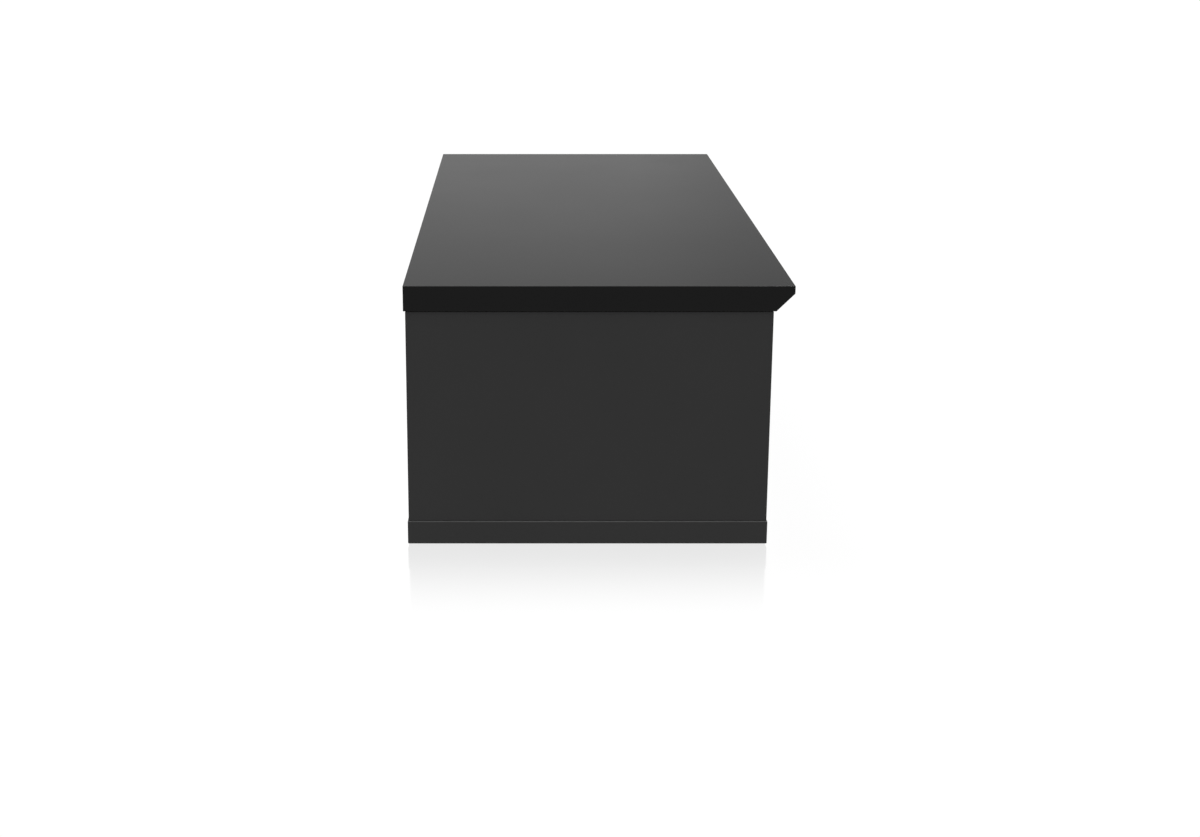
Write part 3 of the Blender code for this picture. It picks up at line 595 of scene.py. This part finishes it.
def mitred_boards(nodes, ease, finishes, edge_finish=-1):
    """The four boards of a frame, mitred at its corners. nodes are its front, back, left and right."""
    front, back, left, right = nodes
    low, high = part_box(front)
    back_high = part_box(back)[1]
    left_low, right_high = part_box(left)[0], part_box(right)[1]
    corners = [
        Vector((left_low.x, low.y)),
        Vector((right_high.x, low.y)),
        Vector((right_high.x, back_high.y)),
        Vector((left_low.x, back_high.y)),
    ]
    thickness = high.y - low.y
    looks = [finishes[name] for name in ("body_lacquer", "melamine", "edge_band_and_painted_highlight")]
    for number, node in enumerate((front, right, back, left)):
        start, end = corners[number], corners[(number + 1) % 4]
        ahead = (end - start).normalized()
        into = Vector((-ahead.y, ahead.x))
        gap = ahead * MITRE_GAP
        outline = [
            start + gap,
            end - gap,
            end - gap - ahead * thickness + into * thickness,
            start + gap + ahead * thickness + into * thickness,
        ]
        mesh = prism(
            f"fine_{node}", outline, low.z, high.z, looks, hairlines=range(4), inner=[2], banded=True
        )
        board = piece(f"fine_{node}", mesh, looks[0], "carcass", stands_for=[node])
        ease_edges(board, ease, weighted=True, finish=edge_finish)


def plain_boards(finishes):
    """The boards that the frames hold: bottom, divider and the rail across the plinth."""
    looks = [finishes["melamine"], finishes["melamine"], finishes["edge_band_and_painted_highlight"]]
    for node in ("bottom_board", "storage_divider", "plinth_cross_rail"):
        low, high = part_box(node)
        outline = [(low.x, low.y), (high.x, low.y), (high.x, high.y), (low.x, high.y)]
        banded = node == "storage_divider"
        mesh = prism(f"fine_{node}", outline, low.z, high.z, looks, banded=banded)
        board = piece(f"fine_{node}", mesh, looks[0], "carcass", stands_for=[node])
        ease_edges(board, BOARD_EASE)


def make_top(finishes):
    """The slab. Its front edge is undercut at 45 degrees below an upright lip."""
    low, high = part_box("table_top")
    undercut = high.z - low.z - TOP_LIP
    section = [
        (low.y + undercut, low.z),
        (high.y, low.z),
        (high.y, high.z),
        (low.y, high.z),
        (low.y, high.z - TOP_LIP),
    ]
    looks = [finishes["top_lacquer"], finishes["melamine"]]
    mesh = prism("fine_table_top", section, low.x, high.x, looks, inner=[0])
    mesh.transform(across(0))
    top = piece("fine_table_top", mesh, looks[0], "lift_top", stands_for=["table_top"])
    ease_edges(top, TOP_EASE, segments=4)


def make_feet(finishes):
    """Nylon glides under the plinth, and rubber bumpers between the box and the closed top."""
    for row in ("front", "back"):
        for end in SIDES:
            for kind, slot in (("glide", "nylon"), ("top_bumper", "rubber")):
                node = f"{kind}_{row}_{end}"
                low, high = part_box(node)
                radius = (high.x - low.x) / 2
                profile = [(0, high.z), (radius, high.z), (radius, low.z), (0, low.z)]
                profile = eased(profile, FOOT_EASE, closed=False)
                middle = (low + high) / 2
                place = Matrix.Translation((middle.x, middle.y, 0))
                mesh = turned(f"fine_{node}", profile)
                piece(f"fine_{node}", mesh, finishes[slot], "carcass", place, [node])


# ---- Mechanism ----
def sheet_part(name, outline, holes, side, layer, finish, body, stands_for):
    """A flat steel part in a layer, its edges rounded by the press."""
    mesh = filled(name, outline, holes, layer[1] - layer[0], SHEET_EASE)
    mesh.transform(across(layer_x(side, layer)))
    sheet = piece(name, mesh, finish, body, stands_for=stands_for)
    flat = sheet.modifiers.new("Flat faces", "WEIGHTED_NORMAL")
    flat.keep_sharp = True
    flat.weight = 100
    return sheet


def turned_piece(name, profile, place, finish, body, ring=False, stands_for=(), ease=TURNED_EASE):
    """A turned part with eased edges. ring is for a hollow one, whose profile is a closed loop."""
    profile = eased(profile, ease, closed=ring, steps=3)
    return piece(name, turned(name, profile, ring), finish, body, place, stands_for)


def weld(name, radius, place, finish, body):
    """A weld bead round a foot of this radius, with the ripples that the torch leaves."""
    steps, sides = WELD_STEPS
    (ripples, ripple), (swells, swell) = WELD_RIPPLES, WELD_WANDER
    work = bmesh.new()
    rows = []
    for i in range(steps):
        turn = 2 * math.pi * i / steps
        size = WELD_RADIUS * (1 + ripple * math.sin(ripples * turn) + swell * math.sin(swells * turn + 1))
        ring = []
        for k in range(sides):
            tilt = 2 * math.pi * k / sides
            out, up = radius + size * math.cos(tilt), size * math.sin(tilt) * WELD_FLATNESS
            ring.append(work.verts.new((out * math.cos(turn), out * math.sin(turn), up)))
        rows.append(ring)
    for i in range(steps):
        for k in range(sides):
            work.faces.new((rows[i - 1][k - 1], rows[i][k - 1], rows[i][k], rows[i - 1][k]))
    piece(name, smooth(mesh_from(work, name), 60), finish, body, place)


def lifted(place, depth):
    """The same place, further along its own Z."""
    return place @ Matrix.Translation((0, 0, depth))


def plate_screw_points():
    return [DRIVE_PIVOT + Vector(offset) for offset in PLATE_SCREWS]


def flange_screw_rows():
    return [TOP_DRIVE_PIVOT.x + y for y in FLANGE_SCREWS]


def stop_point():
    reach = ARM_HALF_WIDTH + BUFFER_RADIUS + RUNNING_GAP
    return along(DRIVE_PIVOT, CLOSED_ANGLE + SWING, STOP_AT, reach)


def spring_peg_point():
    reach = SPRING_RADIUS + WIRE_RADIUS + PEG_RADIUS + RUNNING_GAP
    return DRIVE_PIVOT - Vector((reach, SPRING_PEG_DROP))


def peg(name, place, root, reach, steel, body):
    """A welded peg, from its root in the sheet to its rounded end."""
    profile = [(0, reach), (PEG_RADIUS, reach), (PEG_RADIUS, root), (0, root)]
    turned_piece(name, profile, place, steel, body, ease=PEG_EASE)


def make_plate(end, side, finishes):
    """The plate on the end panel, with its welded stop stud and spring peg."""
    steel, rubber = finishes["mechanism_steel"], finishes["rubber"]
    corners = [DRIVE_PIVOT + Vector(offset) for offset in PLATE_CORNERS]
    holes = [circle(point, CLEARANCE_HOLE_RADIUS) for point in plate_screw_points()]
    node = f"mechanism_plate_{end}"
    outline = eased(corners, PLATE_CORNER_RADIUS, steps=10)
    sheet_part(f"fine_{node}", outline, holes, side, PLATE_LAYER, steel, "carcass", [node])

    face = PLATE_LAYER[1]
    at_stop, at_peg = inward(side, stop_point()), inward(side, spring_peg_point())
    stud_end = ARM_LAYER[1] + STUD_PAST_BUFFER
    peg(f"stop_stud_{end}", at_stop, face - PEG_ROOT, stud_end, steel, "carcass")
    peg(f"spring_peg_{end}", at_peg, face - PEG_ROOT, SLEEVE_END, steel, "carcass")
    weld(f"spring_peg_weld_{end}", PEG_RADIUS, lifted(at_peg, face), steel, "carcass")

    inner, outer = face + JOINT_GAP, ARM_LAYER[1] + BUFFER_PAST_ARM
    bore = PEG_RADIUS + JOINT_GAP / 2
    buffer = [(BUFFER_RADIUS, outer), (BUFFER_RADIUS, inner), (bore, inner), (bore, outer)]
    node = f"stop_buffer_{end}"
    turned_piece(f"fine_{node}", buffer, at_stop, rubber, "carcass", True, [node], BUFFER_EASE)


def screw_mesh():
    """A pan head screw: a domed head with a cross recess, and a coarse thread down to the tip."""
    root = SCREW_THREAD_RADIUS - SCREW_THREAD_DEPTH
    rim = SCREW_HEAD_RADIUS - SCREW_HEAD_RIM
    tip, tip_share = SCREW_TIP
    steps, per_turn = SCREW_STEPS
    dome = arc((0, SCREW_HEAD_HEIGHT - SCREW_HEAD_DOME), SCREW_HEAD_DOME, 90, 46, 8)
    head = [(0, SCREW_HEAD_HEIGHT), *(point for point in dome[1:] if point[0] < rim)]
    head += arc((rim, SCREW_HEAD_SIDE), SCREW_HEAD_RIM, 45, 0, 3)
    head += [(SCREW_HEAD_RADIUS, 0.0), (root + SCREW_HEAD_RIM, 0.0)]
    work = bmesh.new()
    hoops = [hoop(work, [radius] * steps, height) for radius, height in head]
    rows_down = round((SCREW_LENGTH - SCREW_NECK) / SCREW_THREAD_PITCH * per_turn)
    for row in range(rows_down + 1):
        height = -SCREW_NECK - SCREW_THREAD_PITCH * row / per_turn
        taper = tip_share + (1 - tip_share) * min(1.0, (SCREW_LENGTH + height) / tip)
        phases = [(row / per_turn - i / steps) % 1.0 for i in range(steps)]
        crests = [max(0.0, 1 - abs(phase - 0.5) / SCREW_CREST) for phase in phases]
        hoops.append(hoop(work, [(root + SCREW_THREAD_DEPTH * crest) * taper for crest in crests], height))
    hoops.append(hoop(work, [0] * steps, -SCREW_LENGTH - SCREW_POINT))
    join_hoops(work, hoops)
    return smooth(mesh_from(work, "screw"), 50)


def cross_recess():
    """The helper that cuts the cross into a screw's head: two crossed wedges."""
    work = bmesh.new()
    for turn in (0, 90):
        made = bmesh.ops.create_cube(work, size=1.0)["verts"]
        bmesh.ops.scale(work, vec=RECESS_SIZE, verts=made)
        for vert in made:
            if vert.co.z < 0:
                vert.co.x *= RECESS_TAPER[0]
                vert.co.y *= RECESS_TAPER[1]
        bmesh.ops.translate(work, vec=(0, 0, SCREW_HEAD_HEIGHT), verts=made)
        bmesh.ops.rotate(work, matrix=Matrix.Rotation(math.radians(turn), 3, "Z"), verts=made)
    return mesh_from(work, "cross_recess")


def cut_screw():
    """The screw's mesh with its recess cut."""
    screw = bpy.data.objects.new("screw", screw_mesh())
    helper = bpy.data.objects.new("cross_recess", cross_recess())
    for obj in (screw, helper):
        bpy.context.scene.collection.objects.link(obj)
    cut = screw.modifiers.new("Recess", "BOOLEAN")
    cut.object = helper
    cut.operation = "DIFFERENCE"
    cut.use_self = True
    graph = bpy.context.evaluated_depsgraph_get()
    mesh = bpy.data.meshes.new_from_object(screw.evaluated_get(graph))
    for obj in (screw, helper):
        bpy.data.objects.remove(obj)
    mesh.name = "screw_cut"
    return smooth(mesh, 40)


def make_screws(end, side, mesh, finishes):
    zinc = finishes["zinc_steel"]
    for number, point in enumerate(plate_screw_points(), 1):
        node = f"plate_screw_{end}_{number}"
        turn = Matrix.Rotation(math.radians(SCREW_TURNS[0] * number), 4, "Z")
        place = lifted(inward(side, point), PLATE_LAYER[1] + SEAT_GAP) @ turn
        piece(f"fine_{node}", mesh, zinc, "carcass", place, [node])
    under_flange = TOP_UNDERSIDE - JOINT_GAP - STEEL
    over = Matrix.Rotation(math.pi, 4, "X")
    for number, y in enumerate(flange_screw_rows(), 1):
        node = f"bracket_screw_{end}_{number}"
        low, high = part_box(node)
        turn = Matrix.Rotation(math.radians(SCREW_TURNS[1] * number), 4, "Z")
        x = (low.x + high.x) / 2
        place = Matrix.Translation((x, y, under_flange - SEAT_GAP)) @ over @ turn
        piece(f"fine_{node}", mesh, zinc, "lift_top", place, [node])


def make_pivots(end, side, finishes):
    """The pivot pins on the plate, the bushes that turn on them and the sleeve in the spring."""
    zinc, nylon = finishes["zinc_steel"], finishes["nylon"]
    start, past_arm = PLATE_LAYER[1], ARM_LAYER[1] + JOINT_GAP
    bore = SHAFT_RADIUS + RUNNING_GAP / 2
    pins = (
        ("drive", DRIVE_PIVOT, SLEEVE_END + JOINT_GAP, DRIVE_HEAD_RADIUS, "drive_arms"),
        ("rear", REAR_PIVOT, past_arm, REAR_HEAD_RADIUS, f"rear_arm_{end}"),
    )
    for name, point, head_at, head, body in pins:
        place = inward(side, point)
        head_end = head_at + HEAD_HEIGHT
        dimple, dimple_depth = HEAD_DIMPLE
        pin = [
            (0, head_end - dimple_depth),
            (dimple, head_end),
            (head, head_end),
            (head, head_at),
            (SHAFT_RADIUS, head_at),
            (SHAFT_RADIUS, start),
            (0, start),
        ]
        node = f"{name}_pivot_{end}"
        turned_piece(f"fine_{node}", pin, place, zinc, "carcass", stands_for=[node])
        flange_end = ARM_LAYER[0] - SEAT_GAP
        bush = [
            (BUSH_RADIUS, ARM_LAYER[1]),
            (BUSH_RADIUS, flange_end),
            (BUSH_FLANGE_RADIUS, flange_end),
            (BUSH_FLANGE_RADIUS, start + JOINT_GAP),
            (bore, start + JOINT_GAP),
            (bore, ARM_LAYER[1]),
        ]
        node = f"{name}_bush_{end}"
        turned_piece(f"fine_{node}", bush, place, nylon, body, True, [node], BUSH_EASE)
    sleeve = [(SLEEVE_RADIUS, SLEEVE_END), (SLEEVE_RADIUS, past_arm), (bore, past_arm), (bore, SLEEVE_END)]
    node = f"spring_sleeve_{end}"
    place = inward(side, DRIVE_PIVOT)
    turned_piece(f"fine_{node}", sleeve, place, nylon, "carcass", True, [node], SLEEVE_EASE)


def make_arms(end, side, finishes):
    """The two arms of one end, and the welded peg that the spring lifts the drive arm by."""
    steel = finishes["mechanism_steel"]
    arms = (
        ("drive_arm", DRIVE_PIVOT, TOP_DRIVE_PIVOT, "drive_arms"),
        ("rear_arm", REAR_PIVOT, TOP_REAR_PIVOT, f"rear_arm_{end}"),
    )
    for name, low, high, body in arms:
        holes = [
            circle(low, BUSH_RADIUS + SEAT_GAP),
            circle(high, RIVET_RADIUS + RUNNING_GAP),
        ]
        node = f"{name}_{end}"
        outline = capsule(low, high, ARM_HALF_WIDTH)
        sheet_part(f"fine_{node}", outline, holes, side, ARM_LAYER, steel, body, [node])
    face, reach = ARM_LAYER[1], SPRING_START + ARM_PEG_PAST_SPRING
    at_peg = inward(side, along(DRIVE_PIVOT, CLOSED_ANGLE, *ARM_PEG))
    peg(f"arm_peg_{end}", at_peg, face - PEG_ROOT, reach, steel, "drive_arms")
    weld(f"arm_peg_weld_{end}", PEG_RADIUS, lifted(at_peg, face), steel, "drive_arms")
    low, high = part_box("cross_tube")
    at_tube = inward(side, (low.yz + high.yz) / 2)
    weld(f"tube_weld_{end}", TUBE_RADIUS, lifted(at_tube, face), steel, "drive_arms")


def make_cross_tube(finishes):
    low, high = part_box("cross_tube")
    half = INNER_X - ARM_LAYER[1]
    bore = TUBE_RADIUS - TUBE_WALL
    profile = [(TUBE_RADIUS, half), (TUBE_RADIUS, -half), (bore, -half), (bore, half)]
    middle = (low + high) / 2
    place = Matrix.Translation(middle) @ Matrix.Rotation(math.radians(90), 4, "Y")
    steel = finishes["mechanism_steel"]
    turned_piece("fine_cross_tube", profile, place, steel, "drive_arms", True, ["cross_tube"])


def fold(mesh, side, flange_z):
    """Bends a flat bracket, drawn as (y, distance down from the bend), into its flange and web."""
    web_depth = sum(WEB_LAYER) / 2
    work = bmesh.new()
    work.from_mesh(mesh)
    for step in range(BEND_STEPS + 1):
        geometry = [*work.verts, *work.edges, *work.faces]
        line = (0, BEND_LENGTH * step / BEND_STEPS, 0)
        bmesh.ops.bisect_plane(work, geom=geometry, plane_co=line, plane_no=(0, 1, 0), dist=1e-7)
    for vert in work.verts:
        y, down = vert.co.x, vert.co.y
        turn = min(max(down / BEND_RADIUS, 0), math.pi / 2)
        past = max(down - BEND_LENGTH, 0)
        depth = web_depth + BEND_RADIUS * (1 - math.sin(turn)) - min(down, 0)
        height = flange_z - BEND_RADIUS * (1 - math.cos(turn)) - past
        vert.co = (side * (INNER_X - depth), y, height)
    folded = mesh_from(work, mesh.name)
    bpy.data.meshes.remove(mesh)
    return folded


def make_bracket(end, side, finishes):
    """The bracket under the top: one sheet, bent into a flange and a web."""
    (y1, z1), (y2, z2) = TOP_DRIVE_PIVOT, TOP_REAR_PIVOT
    flange_z = TOP_UNDERSIDE - JOINT_GAP - STEEL / 2
    bend_depth = sum(WEB_LAYER) / 2 + BEND_RADIUS

    def down(z):
        return BEND_LENGTH + flange_z - BEND_RADIUS - z

    screw_x = sum(corner.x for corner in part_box(f"bracket_screw_{end}_1")) / 2
    screw_line = bend_depth - (INNER_X - side * screw_x)
    low, high = y1 - FLANGE_FRONT, y2 + WEB_MARGIN
    flange, web = FLANGE_CORNER_RADIUS, WEB_CORNER_RADIUS
    corners = {  # (y, distance down from the bend) of each corner of the flat sheet: its radius
        (low, bend_depth - FLANGE_EDGE): flange,
        (high, bend_depth - FLANGE_EDGE): flange,
        (high, down(z2 - WEB_MARGIN)): web,
        (y2 - WEB_HEEL, down(z2 - WEB_MARGIN)): web,
        (y1 - WEB_FRONT[0], down(z1 - WEB_MARGIN)): web,
        (y1 - WEB_FRONT[1], 0): WEB_START_RADIUS,
        (low, 0): flange,
    }
    outline = eased(list(corners), list(corners.values()), steps=8)
    bore = RIVET_RADIUS + RUNNING_GAP
    holes = [circle((y, screw_line), CLEARANCE_HOLE_RADIUS) for y in flange_screw_rows()]
    holes += [circle((y, down(z)), bore) for y, z in (TOP_DRIVE_PIVOT, TOP_REAR_PIVOT)]
    node = f"top_bracket_{end}"
    mesh = fold(filled(f"fine_{node}", outline, holes), side, flange_z)
    steel = finishes["mechanism_steel"]
    bracket = piece(f"fine_{node}", mesh, steel, "lift_top", stands_for=[node])
    sheet = bracket.modifiers.new("Sheet", "SOLIDIFY")
    sheet.thickness = STEEL
    sheet.offset = 0
    sheet.use_even_offset = True
    ease_edges(bracket, SHEET_EASE, segments=2)


def make_rivets(end, side, finishes):
    """The rivets that hang the bracket on its arms, each with a collar between web and arm."""
    outer = WEB_LAYER[0] - SEAT_GAP
    collar = (WEB_LAYER[1] + SEAT_GAP, ARM_LAYER[0] - SEAT_GAP)
    inner = ARM_LAYER[1] + SEAT_GAP
    head = arc((0, inner + HEAD_HEIGHT - RIVET_DOME), RIVET_DOME, 90, 63, 6)[:-1]
    profile = [
        *head,
        (RIVET_HEAD_RADIUS, inner + RIVET_RIM),
        (RIVET_HEAD_RADIUS, inner),
        (RIVET_RADIUS, inner),
        (RIVET_RADIUS, collar[1]),
        (COLLAR_RADIUS, collar[1]),
        (COLLAR_RADIUS, collar[0]),
        (RIVET_RADIUS, collar[0]),
        (RIVET_RADIUS, outer),
        (RIVET_HEAD_RADIUS, outer),
        (RIVET_HEAD_RADIUS - UPSET_CHAMFER, outer - UPSET_HEIGHT),
        (0, outer - UPSET_HEIGHT),
    ]
    rounding = [0] * len(head) + [RIVET_EASE] * (len(profile) - len(head))
    for name, point in (("top_drive_rivet", TOP_DRIVE_PIVOT), ("top_rear_rivet", TOP_REAR_PIVOT)):
        node = f"{name}_{end}"
        turned_piece(
            f"fine_{node}",
            profile,
            inward(side, point),
            finishes["zinc_steel"],
            "lift_top",
            stands_for=[node],
            ease=rounding,
        )


def make_spring(end, side, finishes):
    """The torsion spring: its lifting leg under the arm's peg, its coil, and its fixed leg."""
    distance, offset = ARM_PEG
    under_peg = offset - PEG_RADIUS - WIRE_RADIUS - RUNNING_GAP
    reach = math.hypot(distance, under_peg)
    leaves = CLOSED_ANGLE + math.degrees(math.atan2(under_peg, distance))
    leaves += math.degrees(math.acos(SPRING_RADIUS / reach))
    total = 180 + 360 * SPRING_WHOLE_TURNS - leaves
    depth_end = SPRING_START + SPRING_PITCH * total / 360
    leg = math.sqrt(reach**2 - SPRING_RADIUS**2) + SPRING_LEG_EXTRA[0]
    tangent = along(DRIVE_PIVOT, leaves, SPRING_RADIUS)
    points = []
    for i in range(LEG_STEPS):
        spot = along(tangent, leaves - 90, leg * (1 - i / LEG_STEPS))
        points.append((SPRING_START, spot))
    steps = round(total / 360 * WIRE_STEPS[0])
    for i in range(steps + 1):
        share = i / steps
        spot = along(DRIVE_PIVOT, leaves + total * share, SPRING_RADIUS)
        points.append((SPRING_START + (depth_end - SPRING_START) * share, spot))
    foot = spring_peg_point().y - SPRING_LEG_EXTRA[1]
    last = points[-1][1]
    for i in range(1, LEG_STEPS + 1):
        spot = Vector((last.x, last.y + (foot - last.y) * i / LEG_STEPS))
        points.append((depth_end, spot))
    route = [(side * (INNER_X - depth), spot.x, spot.y) for depth, spot in points]
    node = f"torsion_spring_{end}"
    mesh = swept(f"fine_{node}", route, WIRE_RADIUS)
    finish = finishes["spring_steel"]
    mesh.materials.append(finish)
    spring = bpy.data.objects.new(f"fine_{node}", mesh)
    bpy.context.scene.collection.objects.link(spring)
    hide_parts(node)
    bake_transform(spring)


# ---- Materials ----
def finish_of(name, slot, colour, roughness, bump, **constants):
    """A Principled material. colour, roughness and bump are functions of (graph, place), and bump
    gives its height, strength and distance."""
    made = bpy.data.materials.new(name)
    made["slot"] = slot
    made.use_nodes = True
    g = Graph(made.node_tree)
    place = g.node("ShaderNodeTexCoord").outputs["Object"]
    shader = g.node("ShaderNodeBsdfPrincipled")
    g.feed(shader.inputs["Base Color"], colour(g, place))
    g.feed(shader.inputs["Roughness"], roughness(g, place))
    height, strength, distance = bump(g, place)
    inputs = {"Height": height, "Strength": strength, "Distance": distance}
    g.feed(shader.inputs["Normal"], g.node("ShaderNodeBump", inputs))
    for socket, value in constants.items():
        shader.inputs[socket.replace("_", " ")].default_value = value
    g.node("ShaderNodeOutputMaterial", {"Surface": shader})
    return made


def shades(first, second, scale, detail=2.0, band=NOISE_BAND):
    """A colour that drifts from first to second where the noise rises through the band."""

    def colour(g, place):
        return g.mix(g.span(g.noise(place, scale, detail), *band), first, second)

    return colour


def sheen(low, high, scale, detail=2.0):
    """A roughness that drifts between low and high."""

    def roughness(g, place):
        return g.span(g.noise(place, scale, detail), *NOISE_BAND, low, high)

    return roughness


def grain(scale, strength, distance, detail=2.0):
    """A bump of fine noise."""

    def bump(g, place):
        return g.noise(place, scale, detail), strength, distance

    return bump


def pearls(g, place):
    """Melamine's bump: its pearled surface."""
    cells = g.node("ShaderNodeTexVoronoi", {"Vector": place, "Scale": 900.0})
    return cells.outputs["Distance"], 0.35, 0.0001


def lathe_rings(g, place):
    """A turned part's bump: rings round its axis."""
    x, y, _ = g.node("ShaderNodeSeparateXYZ", {"Vector": place}).outputs
    squares = g.math("ADD", g.math("MULTIPLY", x, x), g.math("MULTIPLY", y, y))
    radius = g.node("ShaderNodeCombineXYZ", {"X": g.math("SQRT", squares)})
    return g.noise(radius, 1800.0, 1.0), 0.10, 0.00004


def draw_lines(g):
    """Noise along the spring's wire: stretched along it, and closed round it."""
    uv = g.node("ShaderNodeUVMap", uv_map="wire")
    u, v, _ = g.node("ShaderNodeSeparateXYZ", {"Vector": uv}).outputs
    turn = g.math("MULTIPLY", v, 2 * math.pi)
    ends = {"X": g.math("MULTIPLY", u, 20.0), "Y": g.math("COSINE", turn), "Z": g.math("SINE", turn)}
    return g.noise(g.node("ShaderNodeCombineXYZ", ends), 14.0, 3.0)


def wire_colour(g, _):
    return g.mix(g.span(draw_lines(g), *NOISE_BAND), grey(0.16), grey(0.26))


def wire_bump(g, _):
    return draw_lines(g), 0.35, 0.00005


def nylon_colour(g, place):
    return g.mix(g.noise(place, 90.0), (0.60, 0.59, 0.54, 1), (0.66, 0.65, 0.60, 1))


def make_finishes():
    """Every finish: its material's name, its slot, colour, roughness and bump."""
    return {
        # Matte graphite lacquer: a fine dry grain, faint clouds of tone
        "body_lacquer": finish_of(
            "body_lacquer",
            "body_lacquer",
            shades(grey(0.055), grey(0.059), 5.0, 3.0),
            sheen(0.50, 0.60, 900.0),
            grain(1400.0, 0.25, 0.0001),
        ),
        # Satin black lacquer: a slight orange peel, and sheen that varies a little over the surface
        "top_lacquer": finish_of(
            "top_lacquer",
            "top_lacquer",
            shades(grey(0.0030), grey(0.0040), 4.0, 3.0),
            sheen(0.225, 0.24, 6.0, 4.0),
            grain(350.0, 0.08, 0.0001),
        ),
        # Graphite melamine of the inside: fine pale specks in a pearled surface
        "melamine": finish_of(
            "melamine",
            "body_lacquer",
            shades(grey(0.060), grey(0.078), 1600.0, 1.0, band=(0.4, 0.75)),
            sheen(0.42, 0.52, 300.0),
            pearls,
        ),
        # Graphite edge band: smoother than the faces, a little paler. On the plinth's top face and eased
        # edges its paler tone is a painted highlight: the light line along the plinth's ledge
        "edge_band_and_painted_highlight": finish_of(
            "edge_band_and_painted_highlight",
            "body_lacquer",
            shades(grey(0.105), grey(0.120), 12.0, 3.0),
            sheen(0.30, 0.36, 400.0),
            grain(700.0, 0.10, 0.0001),
        ),
        # Grey powder coat on steel: the pebbled skin of the baked coat
        "mechanism_steel": finish_of(
            "powder_coat",
            "mechanism_steel",
            shades(grey(0.095), grey(0.115), 60.0, 3.0),
            sheen(0.36, 0.48, 500.0),
            grain(800.0, 0.30, 0.00015, 1.0),
        ),
        # Zinc plated steel, turned on a lathe, with a faint blue and straw tint
        "zinc_steel": finish_of(
            "zinc",
            "zinc_steel",
            shades((0.53, 0.55, 0.58, 1), (0.60, 0.59, 0.55, 1), 120.0),
            sheen(0.27, 0.36, 400.0),
            lathe_rings,
            Metallic=1.0,
        ),
        # Oil tempered spring wire: dark, with the fine lines of drawing along it
        "spring_steel": finish_of(
            "spring_wire",
            "spring_steel",
            wire_colour,
            sheen(0.26, 0.38, 300.0),
            wire_bump,
            Metallic=1.0,
        ),
        # Natural nylon: milky, with the eroded skin of its mould
        "nylon": finish_of(
            "nylon",
            "nylon",
            nylon_colour,
            sheen(0.42, 0.55, 1500.0),
            grain(2500.0, 0.20, 0.00005, 1.0),
            Subsurface_Weight=0.2,
            Subsurface_Scale=0.002,
        ),
        # Black rubber: dry, with a fine grain and a trace of bloom
        "rubber": finish_of(
            "rubber",
            "rubber",
            shades(grey(0.016), grey(0.026), 150.0, 3.0, band=(0.45, 0.75)),
            sheen(0.68, 0.82, 900.0),
            grain(2200.0, 0.35, 0.0001),
        ),
    }


def main():
    bpy.context.scene.view_settings.view_transform = "Standard"
    make_camera()
    make_sky()
    make_softboxes()
    make_floor()
    finishes = make_finishes()
    panels = ("front_panel", "back_panel", "end_panel_left", "end_panel_right")
    plinth = ("plinth_front", "plinth_back", "plinth_left", "plinth_right")
    mitred_boards(panels, BOARD_EASE, finishes)
    # The plinth's eased edges take the paler edge band: a painted highlight along its ledge
    mitred_boards(plinth, PLINTH_EASE, finishes, edge_finish=2)
    plain_boards(finishes)
    make_top(finishes)
    make_feet(finishes)
    make_cross_tube(finishes)
    screw = cut_screw()
    for end, side in SIDES.items():
        make_plate(end, side, finishes)
        make_screws(end, side, screw, finishes)
        make_pivots(end, side, finishes)
        make_arms(end, side, finishes)
        make_bracket(end, side, finishes)
        make_rivets(end, side, finishes)
        make_spring(end, side, finishes)


main()
